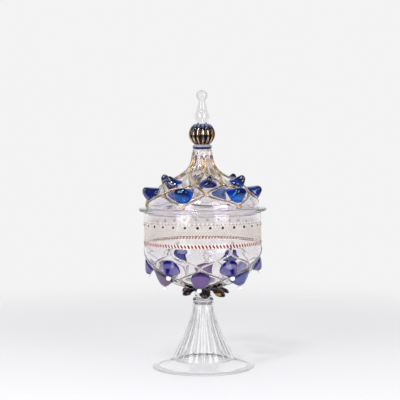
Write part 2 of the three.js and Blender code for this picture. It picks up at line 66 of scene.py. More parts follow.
# Small unevenness of hand work, from a point's place
def wobble(point, size, amount):
    return amount * noise.noise(point / size)


def heightsOf(node):
    return [corner.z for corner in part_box(node)]


# Point at an angle around the axis, shifted sideways along the tangent
def around(radius, angle, height, sideways=0.0):
    a = math.radians(angle)
    x = radius * math.sin(a) + sideways * math.cos(a)
    y = -radius * math.cos(a) + sideways * math.sin(a)
    return Vector((x, y, height))


def awayFromAxis(point):
    return Vector((point.x, point.y, 0)).normalized()


# Rings of a turned body from (radius, height) points; a point on the axis becomes a pole
def turnedRings(outline, count, firstAngle=0.0):
    rings = []
    for radius, height in outline:
        if radius < 1e-6:
            rings.append([Vector((0, 0, height))])
        else:
            rings.append([around(radius, firstAngle + 360 * i / count, height) for i in range(count)])
    return rings


# Points on an arc between two angles, 0 outwards and 90 up
def arc(centre, radius, start, end, steps):
    points = []
    for i in range(steps + 1):
        a = math.radians(lerp(start, end, i / steps))
        points.append((centre[0] + radius * math.cos(a), centre[1] + radius * math.sin(a)))
    return points


def bezier(controls, share):
    points = [Vector(point) for point in controls]
    while len(points) > 1:
        points = [a.lerp(b, share) for a, b in zip(points, points[1:])]
    return points[0]


# Outline in the plane through the axis, as (radius, height) points with their distance along it
def outlineOf(curves):
    steps = 160
    points = [bezier(curves[0], 0)]
    for controls in curves:
        points += [bezier(controls, (i + 1) / steps) for i in range(steps)]
    run = [0.0]
    for a, b in zip(points, points[1:]):
        run.append(run[-1] + (b - a).length)
    return {"points": points, "run": run, "length": run[-1]}


# Point at a place on an outline, which is 0 at its start and 1 at its end
def alongOutline(outline, place):
    run, points = outline["run"], outline["points"]
    wanted = min(max(place, 0.0), 1.0) * outline["length"]
    low = min(bisect_right(run, wanted), len(run) - 1) - 1
    return points[low].lerp(points[low + 1], (wanted - run[low]) / max(run[low + 1] - run[low], 1e-12))


# Outward direction of an outline that runs downwards
def outwardAt(outline, place):
    step = 0.004
    along = (alongOutline(outline, place + step) - alongOutline(outline, place - step)).normalized()
    return Vector((-along.y, along.x))


def placeAtHeight(outline, height):
    low, high = 0.0, 1.0
    for _ in range(40):
        middle = (low + high) / 2
        if alongOutline(outline, middle).y > height:
            low = middle
        else:
            high = middle
    return (low + high) / 2


# Materials

eased = {"interpolation_type": "SMOOTHSTEP"}


def colour(hexText):
    parts = [int(hexText[i:i + 2], 16) / 255 for i in (1, 3, 5)]
    return [c / 12.92 if c <= 0.04045 else ((c + 0.055) / 1.055) ** 2.4 for c in parts] + [1.0]


# Adds a node, a shader node unless its kind says otherwise. inputs maps a socket's name or number to a
# value, to another node's output, or to a node, for its first output in use. The numbers of MapRange are
# 0 for the value, 1 and 2 for the range it comes from, 3 and 4 for the range it goes to.
def addNode(tree, kind, inputs=None, **settings):
    node = tree.nodes.new(kind if "Node" in kind else "ShaderNode" + kind)
    for name, value in settings.items():
        setattr(node, name, value)
    for name, value in (inputs or {}).items():
        if isinstance(value, bpy.types.Node):
            value = next(socket for socket in value.outputs if socket.enabled)
        if isinstance(value, bpy.types.NodeSocket):
            tree.links.new(value, node.inputs[name])
        else:
            node.inputs[name].default_value = value
    return node


def newMaterial(name):
    material = bpy.data.materials.new(name)
    material.use_nodes = True
    tree = material.node_tree
    tree.nodes.clear()
    return material, tree, addNode(tree, "TexCoord").outputs["Object"]


# A surface of one colour with others laid over it, and the colour that glass takes where light goes deep
def finishMaterial(tree, base, layers, surface, deep=None, density=0.0):
    shade = colour(base)
    for factor, paint in layers:
        shade = addNode(tree, "Mix", {"Factor": factor, "A": shade, "B": colour(paint)}, data_type="RGBA")
    ends = {"Surface": addNode(tree, "BsdfPrincipled", {"Base Color": shade, **surface})}
    if deep:
        ends["Volume"] = addNode(tree, "VolumeAbsorption", {"Color": colour(deep), "Density": density})
    addNode(tree, "OutputMaterial", ends)


# Slow waves of a hand-blown surface, which bend the highlights a little
def handBlown(tree, where, size, strength, reach, detail=1.5):
    waves = addNode(tree, "TexNoise", {"Vector": where, "Scale": 1 / size, "Detail": detail})
    return addNode(tree, "Bump", {"Strength": strength, "Distance": reach, "Height": waves})


# Clear soda glass, blown: colourless in a thin wall, faintly grey-lilac where it is thick
def clearGlassMaterial(name, grey, density, waves):
    material, tree, where = newMaterial(name)
    finishMaterial(tree, "#fbfbfb", [], {
        "Roughness": 0.012, "IOR": 1.51, "Transmission Weight": 1.0,
        "Normal": handBlown(tree, where, 20 * mm, waves, 1.0 * mm),
    }, grey, density)
    return material


# Blown glass with lustred ribs: a pale wash lies on each rib, with a brown line of painted shade along its
# foot, broken up by a noise, and gold left on parts of its crest. "gilt" is the height on a rib, from 0 at
# its foot to 1.
def gildedGlassMaterial(name, look):
    material, tree, where = newMaterial(name)
    height = addNode(tree, "Attribute", attribute_name="gilt").outputs["Fac"]
    wear = addNode(tree, "TexNoise", {"Vector": where, "Scale": 1 / (6 * mm), "Detail": 3.0})
    made = {}
    for part, value, low, high, bare, full in (
            ("wash", height, 0.36, 0.62, 0.0, 1.0),
            ("foot", height, 0.06, 0.22, 0.0, 1.0),
            ("crest", height, 0.62, 0.84, 0.0, 1.0),
            ("clear", height, 0.1, 0.4, 1.0, 1 - look["veil"]),
            ("ran", wear, look["shadeLineFrom"], look["shadeLineFrom"] + 0.1, 0.0, look["shadeLineShare"]),
            ("kept", wear, look["goldFrom"], look["goldFrom"] + 0.12, 0.0, 1.0)):
        made[part] = addNode(tree, "MapRange", {0: value, 1: low, 2: high, 3: bare, 4: full}, **eased)
    # the brown line at the rib's foot is painted shade of the rib's edge, broken up by the noise
    for part, operation, first, second in (("side", "SUBTRACT", "foot", "wash"),
                                           ("line", "MULTIPLY", "side", "ran"),
                                           ("gold", "MULTIPLY", "crest", "kept")):
        made[part] = addNode(tree, "Math", {0: made[first], 1: made[second]}, operation=operation)
    layers = [(made[part], look[part]) for part in ("wash", "line", "gold")]
    finishMaterial(tree, look["tint"], layers, {
        "IOR": 1.51, "Transmission Weight": made["clear"],
        "Metallic": addNode(tree, "MapRange", {0: made["gold"], 4: 0.8}),
        "Roughness": addNode(tree, "MapRange", {0: made["gold"], 4: 0.18}, **eased),
        "Thin Film Thickness": look["film"], "Thin Film IOR": 1.7,
        "Normal": handBlown(tree, where, 20 * mm, 0.06, 1.0 * mm),
    }, look["grey"], look["density"])
    return material


# Dark blue ribbed glass, gilded and lustred on its ribs, drawn out thin and pale at its top
def knopGlassMaterial():
    top = heightsOf("knop")[1]
    material, tree, where = newMaterial("gildedKnopGlass")
    crest = addNode(tree, "Attribute", attribute_name="gilt").outputs["Fac"]
    wear = addNode(tree, "TexNoise", {"Vector": where, "Scale": 1 / (4 * mm), "Detail": 3.0})
    height = addNode(tree, "SeparateXYZ", {0: where}).outputs["Z"]
    drawn = addNode(tree, "Math", {0: crest, 1: 4 * mm, 2: height}, operation="MULTIPLY_ADD")
    thin = addNode(tree, "MapRange", {0: drawn, 1: top - 3 * mm, 2: top + 2 * mm}, **eased)
    kept = addNode(tree, "Math", {0: wear, 1: -0.45, 2: crest}, operation="MULTIPLY_ADD")
    left = addNode(tree, "Math", {0: kept, 1: thin}, operation="SUBTRACT")
    gold = addNode(tree, "MapRange", {0: left, 1: 0.58, 2: 0.7}, **eased)
    finishMaterial(tree, "#17184f", [(thin, "#9aa8c4"), (gold, "#f0cc90")], {
        "Metallic": gold, "IOR": 1.52, "Roughness": addNode(tree, "MapRange", {0: gold, 3: 0.02, 4: 0.12}),
        "Transmission Weight": addNode(tree, "MapRange", {0: thin, 3: 0.9, 4: 0.55}),
        "Normal": handBlown(tree, where, 5 * mm, 0.25, 0.7 * mm),
    }, "#8088d0", 120.0)
    return material


# Clear ring with a painted reflection of the blue knop: a dark blue band in its lower half
def paintedReflectionMereseMaterial():
    low, high = heightsOf("neck_merese")
    material, tree, where = newMaterial("clearMereseGlassPaintedKnopReflection")
    height = addNode(tree, "SeparateXYZ", {0: where}).outputs["Z"]
    up = addNode(tree, "MapRange",
                 {0: height, 1: lerp(low, high, 0.45), 2: lerp(low, high, 0.58)}, **eased)
    # the dark blue, less clear lower half is a painted reflection of the knop above
    finishMaterial(tree, "#1a1b5c", [(up, "#f4f1f8")], {
        "Roughness": 0.02, "IOR": 1.52,
        "Transmission Weight": addNode(tree, "MapRange", {0: up, 3: 0.2, 4: 0.7}),
        "Normal": handBlown(tree, where, 8 * mm, 0.15, 0.6 * mm),
    }, "#cfcdd8", 12.0)
    return material


# Solid coloured glass: the depth of the lump sets how dark it is, part of the light comes back out of its
# body, its skin is streaked with a deeper tint, and it is nearly black at the seat, tip and middle drop
# that
# its mesh marks: partly the deeper colour of thick glass, partly painted shade of the petal's top and
# edges.
# A film of metal lustre colours its highlights, and an ember is a spot that glows in another colour.
def lumpGlassMaterial(name, look):
    material, tree, where = newMaterial(name)
    # the seat, tip and middle drop, darkened partly as thick glass and partly as painted shade
    thick = addNode(tree, "Attribute", attribute_name="thickAndShaded").outputs["Fac"]
    uneven = addNode(tree, "TexNoise", {"Vector": where, "Scale": 1 / look["patch"], "Detail": 1.0})
    layers = [(addNode(tree, "MapRange", {0: uneven, 1: 0.42, 2: 0.6}, **eased), look["streak"])]
    if "ember" in look:
        spot = {0: where, "Location": look["emberAt"], "Scale": look["emberSize"]}
        ember = addNode(tree, "Mapping", spot, vector_type="TEXTURE")
        far = addNode(tree, "VectorMath", {0: ember}, operation="LENGTH")
        layers.append((addNode(tree, "MapRange", {0: far, 1: 1.1, 2: 0.6}, **eased), look["ember"]))
    finishMaterial(tree, look["tint"], layers + [(thick, look["rim"])], {
        "Roughness": 0.03, "IOR": 1.53,
        "Transmission Weight": addNode(tree, "MapRange", {0: thick, 3: 1 - look["body"], 4: 0.2}),
        "Thin Film Thickness": look.get("film", 0.0), "Thin Film IOR": 1.75,
        "Normal": handBlown(tree, where, 7 * mm, 0.3, 0.8 * mm),
    }, look["deep"], look["density"])
    return material


# Opaque white glass: light goes a little way in, so its shade is soft
def pearlGlassMaterial():
    material, tree, where = newMaterial("opaqueWhiteGlass")
    finishMaterial(tree, "#f2efeb", [], {
        "Roughness": 0.12, "IOR": 1.5, "Subsurface Weight": 0.35, "Subsurface Radius": (1.0, 0.8, 0.7),
        "Subsurface Scale": 1.2 * mm, "Coat Weight": 0.3,
        "Normal": handBlown(tree, where, 3 * mm, 0.15, 0.4 * mm),
    })
    return material


# Fired enamel paint: glossy, slightly grainy, uneven in colour from stroke to stroke
def enamelMaterial(name, paint, shade, rough=0.32):
    material, tree, where = newMaterial(name)
    uneven = addNode(tree, "TexNoise", {"Vector": where, "Scale": 1 / (6 * mm), "Detail": 3.0})
    finishMaterial(tree, paint, [(uneven, shade)], {
        "Roughness": rough, "IOR": 1.5, "Coat Weight": 0.25, "Coat Roughness": 0.1,
        "Normal": handBlown(tree, where, 0.9 * mm, 0.3, 0.1 * mm, 2.0),
    })
    return material


clearGlass = clearGlassMaterial("clearBlownGlass", "#d6d4d8", 6.0, 0.02)
footGlass = clearGlassMaterial("clearFootGlass", "#dad8dc", 5.0, 0.1)
# in both looks, "line" is the colour of the painted shade along the ribs' feet
bellGlass = gildedGlassMaterial("gildedBellGlass", {
    "tint": "#fcf8fc", "wash": "#f0d4ac", "line": "#2c1608", "gold": "#d8a458",
    "shadeLineFrom": 0.42, "shadeLineShare": 1.0, "goldFrom": 0.44, "veil": 0.34, "grey": "#dcccdc", "density": 2.0,
    "film": 290.0,
})
bowlGlass = gildedGlassMaterial("gildedBowlGlass", {
    "tint": "#fcfafc", "wash": "#f0e0d0", "line": "#6c4420", "gold": "#c89c60",
    "shadeLineFrom": 0.44, "shadeLineShare": 0.75, "goldFrom": 0.56, "veil": 0.25, "grey": "#d8ccd8", "density": 4.0,
    "film": 0.0,
})
knopGlass = knopGlassMaterial()
mereseGlassPaintedReflection = paintedReflectionMereseMaterial()
# each "rim" is the colour of the darkened seat, tip and drop, partly painted shade
cobaltGlass = lumpGlassMaterial("cobaltGlass", {
    "tint": "#1484ff", "streak": "#1244d0", "rim": "#0a0c4c", "patch": 12 * mm, "body": 0.34,
    "deep": "#2c7cf0", "density": 200.0, "film": 205.0,
})
lilacGlass = lumpGlassMaterial("lilacBlueGlass", {
    "tint": "#a8a0d0", "streak": "#8a82c4", "rim": "#0c0a6c", "patch": 16 * mm, "body": 0.4,
    "deep": "#a8a4e4", "density": 40.0,
})
violetGlass = lumpGlassMaterial("violetGlass", {
    "tint": "#8a66ae", "streak": "#625ca8", "rim": "#2c1858", "patch": 40 * mm, "body": 0.45,
    "deep": "#a080d0", "density": 60.0,
})
navyGlass = lumpGlassMaterial("deepCobaltGlass", {
    "tint": "#1a50c0", "streak": "#101c80", "rim": "#08083c", "patch": 12 * mm, "body": 0.3,
    "deep": "#2c6cd8", "density": 200.0, "film": 68.0,
})
slateGlass = lumpGlassMaterial("slateBlueGlass", {
    "tint": "#7478c4", "streak": "#5a5eb2", "rim": "#1c1858", "patch": 20 * mm, "body": 0.45,
    "deep": "#9490d8", "density": 60.0,
})
smokeGlass = lumpGlassMaterial("smokyVioletGlass", {
    "tint": "#8c7898", "streak": "#74608c", "rim": "#2c1840", "patch": 20 * mm, "body": 0.45,
    "deep": "#a890b8", "density": 60.0,
})
amethystGlass = lumpGlassMaterial("darkAmethystGlass", {
    "tint": "#4a2032", "streak": "#180a14", "rim": "#12080e", "patch": 9 * mm, "body": 0.3,
    "deep": "#8e4a62", "density": 500.0,
    "ember": "#e8c424", "emberAt": (15.5 * mm, -17 * mm, 82.3 * mm),
    "emberSize": (5 * mm, 7 * mm, 1.8 * mm),
})
pearlGlass = pearlGlassMaterial()
whiteEnamel = enamelMaterial("whiteEnamel", "#f4f1ea", "#e3ddd2")
pinkEnamel = enamelMaterial("pinkEnamel", "#b87a7c", "#9c6468")
creamEnamel = enamelMaterial("creamEnamel", "#f4dcd6", "#ecc6c0")
redEnamel = enamelMaterial("redEnamel", "#700610", "#4e040c")
darkEnamel = enamelMaterial("blackGreenEnamel", "#101a17", "#1c2a25")
scaleGold = enamelMaterial("dullGoldPaint", "#d8cabf", "#b8a89c", rough=0.45)
print("materials made")


# Meshes

# Points and outward faces of a skin over rings of points; a ring of one point is a pole
def skinOver(rings, closed):
    points, starts = [], []
    for ring in rings:
        starts.append(len(points))
        points += ring
    faces = []
    for upper in range(len(rings) if closed else len(rings) - 1):
        lower = (upper + 1) % len(rings)
        count = max(len(rings[upper]), len(rings[lower]))
        for i in range(count):
            j = (i + 1) % count
            face = []
            for at, picks in ((upper, (j, i)), (lower, (i, j))):
                face += [starts[at]] if len(rings[at]) == 1 else [starts[at] + pick for pick in picks]
            faces.append(face)
    volume = 0.0
    for face in faces:
        for a, b in zip(face[1:], face[2:]):
            volume += points[face[0]].dot(points[a].cross(points[b]))
    if volume < 0:
        faces = [face[::-1] for face in faces]
    return points, faces


# Mesh of one or more skins, the second a cavity in the first if it is hollow. values holds an attribute's
# value for each point of each ring.
def ringMesh(name, *skins, closed=False, hollow=False, values=None, attribute="gilt", sharpAngle=40):
    points, faces = [], []
    for rings in skins:
        skinPoints, skinFaces = skinOver(rings, closed)
        step = -1 if hollow and points else 1
        faces += [[len(points) + i for i in face[::step]] for face in skinFaces]
        points += skinPoints
    mesh = bpy.data.meshes.new(name)
    mesh.from_pydata(points, [], faces)
    if values:
        stored = mesh.attributes.new(attribute, "FLOAT", "POINT")
        stored.data.foreach_set("value", [value for ring in values for value in ring])
    mesh.shade_smooth()
    mesh.set_sharp_from_angle(angle=math.radians(sharpAngle))
    mesh.update()
    return mesh


def linked(name, data):
    thing = bpy.data.objects.new(name, data)
    bpy.context.scene.collection.objects.link(thing)
    return thing


# A finished piece on its body, in the place of the CAD nodes that it stands for. Clear glass lets the
# lamps' light through, and light off the floor too.
def addPiece(name, mesh, material, body, slot, nodes=()):
    piece = linked(name, mesh)
    mesh.materials.clear()
    mesh.materials.append(material)
    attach(piece, body)
    if nodes:
        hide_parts(*nodes)
    piece.visible_shadow = piece.visible_diffuse = slot != "clear_glass"


# Geometry Nodes

# A new tree with named inputs and a material, "Finish", and its inputs by name
def newTree(name, sockets):
    tree = bpy.data.node_groups.new(name, "GeometryNodeTree")
    for side in ("INPUT", "OUTPUT"):
        tree.interface.new_socket("Geometry", in_out=side, socket_type="NodeSocketGeometry")
    for socket, kind in {**sockets, "Finish": "Material"}.items():
        tree.interface.new_socket(socket, in_out="INPUT", socket_type="NodeSocket" + kind)
    return tree, {socket.name: socket for socket in addNode(tree, "NodeGroupInput").outputs}


def finishTree(tree, geometry, finish):
    solid = addNode(tree, "GeometryNodeRealizeInstances", {0: geometry})
    painted = addNode(tree, "GeometryNodeSetMaterial", {"Geometry": solid, "Material": finish})
    addNode(tree, "NodeGroupOutput", {0: painted})
    return tree


# Copies a small part in staggered rows around the axis, facing outwards
def wallRowsTree():
    tree, made = newTree("wallRows", {
        "Count": "Int", "Rows": "Int", "Radius": "Float", "Height": "Float", "Row Step": "Float",
        "Stagger": "Float", "Start Angle": "Float", "Unevenness": "Float", "Seed": "Int"})
    made["index"] = addNode(tree, "GeometryNodeInputIndex")
    for name, operation, *sources in (
            ("total", "MULTIPLY", "Count", "Rows"),
            ("ratio", "DIVIDE", "index", "Count"),
            ("row", "FLOOR", "ratio"),
            ("column", "FRACT", "ratio"),
            ("odd", "MODULO", "row", 2.0),
            ("shift", "MULTIPLY", "odd", "Stagger"),
            ("shiftShare", "DIVIDE", "shift", "Count"),
            ("turn", "ADD", "column", "shiftShare"),
            ("angle", "MULTIPLY_ADD", "turn", math.tau, "Start Angle"),
            ("height", "MULTIPLY_ADD", "row", "Row Step", "Height"),
            ("sine", "SINE", "angle"),
            ("cosine", "COSINE", "angle"),
            ("x", "MULTIPLY", "sine", "Radius"),
            ("back", "MULTIPLY", "Radius", -1.0),
            ("y", "MULTIPLY", "cosine", "back"),
            ("least", "SUBTRACT", 1.0, "Unevenness"),
            ("most", "ADD", 1.0, "Unevenness")):
        inputs = {i: made.get(source, source) for i, source in enumerate(sources)}
        made[name] = addNode(tree, "Math", inputs, operation=operation)
    line = addNode(tree, "GeometryNodeMeshLine", {"Count": made["total"]})
    place = addNode(tree, "CombineXYZ", {0: made["x"], 1: made["y"], 2: made["height"]})
    points = addNode(tree, "GeometryNodeSetPosition", {"Geometry": line, "Position": place})
    size = addNode(tree, "FunctionNodeRandomValue",
                   {2: made["least"], 3: made["most"], "Seed": made["Seed"]}, data_type="FLOAT")
    facing = addNode(tree, "CombineXYZ", {"Z": made["angle"]})
    copies = addNode(tree, "GeometryNodeInstanceOnPoints", {
        "Points": points, "Instance": made["Geometry"], "Rotation": facing, "Scale": size})
    return finishTree(tree, copies, made["Finish"])


# Pushes a turned wall out and in around the axis, as a ribbed mould does. The attribute "depth" gives how
# deep the flutes are at each height, and "gilt" comes out as 1 on their crests.
def flutesTree():
    tree, made = newTree("mouldFlutes", {"Count": "Int", "Roundness": "Float", "Start Angle": "Float"})
    parts = addNode(tree, "SeparateXYZ", {0: addNode(tree, "GeometryNodeInputPosition")})
    made["x"], made["y"] = parts.outputs["X"], parts.outputs["Y"]
    made["depth"] = addNode(tree, "GeometryNodeInputNamedAttribute", {"Name": "depth"}, data_type="FLOAT")
    for name, operation, *sources in (
            ("front", "MULTIPLY", "y", -1.0),
            ("turn", "ARCTAN2", "x", "front"),
            ("angle", "SUBTRACT", "turn", "Start Angle"),
            ("halfCount", "MULTIPLY", "Count", 0.5),
            ("phase", "MULTIPLY", "angle", "halfCount"),
            ("wave", "COSINE", "phase"),
            ("ridge", "ABSOLUTE", "wave"),
            ("crest", "POWER", "ridge", "Roundness"),
            ("centred", "SUBTRACT", "crest", 0.5),
            ("push", "MULTIPLY", "centred", "depth")):
        inputs = {i: made.get(source, source) for i, source in enumerate(sources)}
        made[name] = addNode(tree, "Math", inputs, operation=operation)
    flat = addNode(tree, "CombineXYZ", {"X": made["x"], "Y": made["y"]})
    outward = addNode(tree, "VectorMath", {0: flat}, operation="NORMALIZE")
    offset = addNode(tree, "VectorMath", {0: outward, "Scale": made["push"]}, operation="SCALE")
    stored = addNode(tree, "GeometryNodeStoreNamedAttribute",
                     {"Geometry": made["Geometry"], "Name": "gilt", "Value": made["crest"]},
                     data_type="FLOAT", domain="POINT")
    moved = addNode(tree, "GeometryNodeSetPosition", {"Geometry": stored, "Offset": offset})
    return finishTree(tree, moved, made["Finish"])


# Runs a node tree on a mesh and keeps the result as a plain mesh
def grown(name, mesh, tree, inputs, material):
    seed = linked(name + "Seed", mesh)
    modifier = seed.modifiers.new("nodes", "NODES")
    modifier.node_group = tree
    for socket in tree.interface.items_tree:
        if socket.in_out == "INPUT" and socket.name != "Geometry":
            modifier[socket.identifier] = material if socket.name == "Finish" else inputs[socket.name]
    bpy.context.view_layer.update()
    made = bpy.data.meshes.new_from_object(seed.evaluated_get(bpy.context.evaluated_depsgraph_get()))
    made.name = name
    bpy.data.objects.remove(seed)
    return made


wallRows = wallRowsTree()
mouldFlutes = flutesTree()


# Blows a turned body into a ribbed mould; depths holds how deep the flutes are at each ring
def moulded(name, rings, depths, form, material):
    values = [[depth] * len(ring) for depth, ring in zip(depths, rings)]
    mesh = ringMesh(name, rings, values=values, attribute="depth", sharpAngle=form["sharpAngle"])
    inputs = {"Count": form["ribs"], "Roundness": form["roundness"],
              "Start Angle": math.radians(form["ribAngle"])}
    return grown(name, mesh, mouldFlutes, inputs, material)


# Foot: plate, fluted trumpet, stem ring and collar, melted into one body of glass

foot = {
    "plateRadius": 56.5 * mm,
    "edge": 2.4 * mm,
    "restWidth": 6 * mm,
    "wall": 1.4 * mm,
    "hollow": 0.6,          # how far out the plate's dome starts to curve, as a share of its width
    "coneSeat": 35.1 * mm,
    "seatDrop": 0.5 * mm,   # how far the plate's dome starts below the trumpet
    "baseRadius": 33.5 * mm,
    "topRadius": 11.2 * mm,
    "topDown": 0.35,
    "baseOut": 0.53,
    "baseDown": 0.635,
    "ribs": 16,
    "ribAngle": 11.25,      # where a crest is
    "ribDepth": 1.6 * mm,
    "ribFade": 0.5,         # share of the trumpet's height in which the flutes leave the round neck
    "roundness": 0.85,
    "columnsPerRib": 14,
    "sharpAngle": 50,
    "ringRadius": 11.5 * mm,
    "collarRadius": 9.6 * mm,
    "collarWaist": 1.2 * mm,
    "crownDrop": 3.2 * mm,  # depth of the round end of the hollow, inside the neck
    "unevenness": (24 * mm, 0.1 * mm),      # length and height of the waves of hand work, here and below
}


def makeFoot():
    coneLow, coneTop = heightsOf("foot_cone")
    ringTop, collarTop = heightsOf("stem_ring")[1], heightsOf("stem_collar")[1] - hair
    wall, radius, rows = foot["wall"], foot["collarRadius"], 64
    cone = outlineOf([[
        (foot["topRadius"], coneTop),
        (foot["topRadius"], lerp(coneTop, coneLow, foot["topDown"])),
        (lerp(foot["topRadius"], foot["baseRadius"], foot["baseOut"]),
         lerp(coneTop, coneLow, foot["baseDown"])),
        (foot["baseRadius"], coneLow),
    ]])
    waist = (radius - foot["collarWaist"], (collarTop + ringTop) / 2)
    side = [(radius, collarTop), waist, (radius, ringTop)]
    half = (ringTop - coneTop) / 2
    ringSide = arc((foot["ringRadius"] - half, coneTop + half), half, 90, -75, 12)
    stem = [(0.0, collarTop)] + [bezier(side, i / 10) for i in range(10)]
    stem += [point for point in ringSide if point[0] > radius]
    trumpet, depths = [], []
    for i in range(1, rows + 1):
        share = i / rows
        trumpet.append(alongOutline(cone, share))
        # the flutes are half as deep where the trumpet meets the plate
        seated = 1 - 0.5 * smooth(0.7, 1.0, share)
        depths.append(foot["ribDepth"] * smooth(0.0, foot["ribFade"], share) * seated)
    rim = foot["plateRadius"] - foot["edge"] / 2
    handle = (lerp(foot["coneSeat"], foot["plateRadius"], foot["hollow"]), foot["edge"])
    dome = [(foot["coneSeat"], coneLow - foot["seatDrop"]), handle, (rim, foot["edge"])]
    plate = [bezier(dome, i / 18) for i in range(19)]
    restInner = rim - foot["restWidth"]
    under = [(r, z - wall) for r, z in plate[::-1] if r < restInner]
    plate += arc((rim, foot["edge"] / 2), foot["edge"] / 2, 90, -90, 8)[1:] + [(restInner, 0.0)] + under
    inside = [(r - wall, z) for r, z in trumpet[::-1]]
    crown = []
    for i in range(6):
        a = math.radians(15 * i)
        crown.append(((foot["topRadius"] - wall) * math.cos(a),
                      coneTop - foot["crownDrop"] * (1 - math.sin(a))))
    crown.append((0.0, coneTop))
    outline, deep = [], []
    for points, flutes in ((stem, None), (trumpet, depths), (plate, None),
                           (inside, depths[::-1]), (crown, None)):
        outline += points
        deep += flutes or [0.0] * len(points)
    rings = turnedRings(outline, foot["ribs"] * foot["columnsPerRib"])
    for ring in rings:
        for point in ring:
            if foot["edge"] * 1.01 < point.z < coneLow:
                point.z += wobble(point, *foot["unevenness"])
    nodes = ["foot_disc", "foot_cone", "stem_ring", "stem_collar"]
    mesh = moulded("footGlass", rings, deep, foot, footGlass)
    addPiece("footGlass", mesh, footGlass, "cup", "clear_glass", nodes)


# The net of ribs: each repeat has two ribs, which meet at the nodes
net = {
    "repeats": 6,
    "bellRib": (1.6 * mm, 2.7 * mm),        # height and half width
    "bowlRib": (0.8 * mm, 1.7 * mm),
    "nodePinch": 0.4,       # how close two ribs come at a node, in rib half widths
    "leastCell": 0.12,      # share of a cell that always stays beside a rib
    "cellBulge": 0.6 * mm,
    "ribColumns": 10,
    "cellColumns": 6,
    "waves": 0.14 * mm,     # unevenness of the blown wall
    "evenWaves": 0.2,       # share of it that is left where the columns are evenly spaced
    "waveLength": 16 * mm,
    "innerWaves": (18 * mm, 0.035 * mm),
    "innerShift": Vector((0, 0, 0.3)),      # so that the inner waves aren't the outer ones again
    "pullWidth": 17,        # reach of a pull, in degrees and in height
    "pullHeight": 7 * mm,
}
netColumnCount = net["repeats"] * 2 * (net["ribColumns"] + 2 * net["cellColumns"])


# How far apart two ribs are at a place between nodes, from 0 to 1, and how high they are
def pinchedAt(nodes, place):
    for (placeA, openA, ribA), (placeB, openB, ribB) in zip(nodes, nodes[1:]):
        if place <= placeB:
            share = min(max((place - placeA) / max(placeB - placeA, 1e-9), 0.0), 1.0)
            return lerp(openA, openB, (1 - math.cos(math.pi * share)) / 2), lerp(ribA, ribB, share)
    return nodes[-1][1], nodes[-1][2]


# Angles of the columns in half a repeat, closest on the rib, and the angle of the rib's crest
def netColumns(openShare, half, flank):
    pinch = min(flank * net["nodePinch"], half / 4)
    crest = lerp(pinch, half - pinch, openShare)
    inner = max(crest - flank, crest * net["leastCell"])
    outer = min(crest + flank, half - (half - crest) * net["leastCell"])
    stops = []
    for start, end, count in ((0.0, inner, net["cellColumns"]), (inner, outer, net["ribColumns"]),
                              (outer, half, net["cellColumns"])):
        stops += [lerp(start, end, i / count) for i in range(count)]
    return stops + [half], crest


# How far the ribs were pulled aside by hand near some nodes
def pulledAside(pulls, angle, height):
    shift = 0.0
    for pullAngle, pullHeight, amount in pulls:
        turn = (angle - pullAngle + 180) % 360 - 180
        far = (turn / net["pullWidth"]) ** 2 + ((height - pullHeight) / net["pullHeight"]) ** 2
        shift += amount * math.exp(-far / 2)
    return shift


# One ring of a netted wall, and how high the rib is at each of its points. even is 1 where the columns are
# evenly spaced, 0 where they follow the ribs.
def netRing(outline, nodes, place, firstAngle, even, ribSize, isEnd=False, pulls=()):
    openShare, rib = pinchedAt(nodes, place)
    middle, outward = alongOutline(outline, place), outwardAt(outline, place)
    repeatAngle = 360 / net["repeats"]
    half = repeatAngle / 2
    flank = math.degrees(ribSize[1] / middle.x)
    stops, crest = netColumns(openShare, half, flank)
    count = len(stops) - 1
    waves = net["waves"] * lerp(1.0, net["evenWaves"], even)
    ring, values = [], []
    for column in range(netColumnCount):
        repeat, k = divmod(column, 2 * count)
        nth = min(k, 2 * count - k)
        angle = lerp(stops[nth], nth * half / count, even)
        # ribs at +-crest around each repeat's middle, and again around the next repeat's
        distance = min(abs(angle - crest), angle + crest, abs(repeatAngle - crest - angle))
        rise = math.cos(min(distance / flank, 1.0) * math.pi / 2) ** 2 * rib
        cell = crest if angle < crest else half - crest
        inside = min(max((distance - flank) / max(cell, 1e-6), 0.0), 1.0)
        bulge = (cell / half) ** 1.5 * math.sin(inside * math.pi / 2) * rib
        offset = 0.0 if isEnd else rise * ribSize[0] + bulge * net["cellBulge"]
        point = middle + outward * offset
        angle = firstAngle + repeat * repeatAngle + (angle if k <= count else repeatAngle - angle)
        spot = around(point.x, angle + pulledAside(pulls, angle, point.y), point.y)
        if not isEnd:
            spot += awayFromAxis(spot) * wobble(spot, net["waveLength"], waves)
        ring.append(spot)
        values.append(rise)
    return ring, values


# Rings of the smooth inside of a netted wall
def innerRings(outline, wall, placeFrom, placeTo, firstAngle):
    rows = 64
    rings = []
    for i in range(rows + 1):
        place = lerp(placeFrom, placeTo, i / rows)
        point = alongOutline(outline, place) - outwardAt(outline, place) * wall
        rings += turnedRings([point], netColumnCount, firstAngle)
    for ring in rings:
        for spot in ring:
            spot += awayFromAxis(spot) * wobble(spot + net["innerShift"], *net["innerWaves"])
    return rings


def noRibs(rings):
    return [[0.0] * len(ring) for ring in rings]


# Bowl

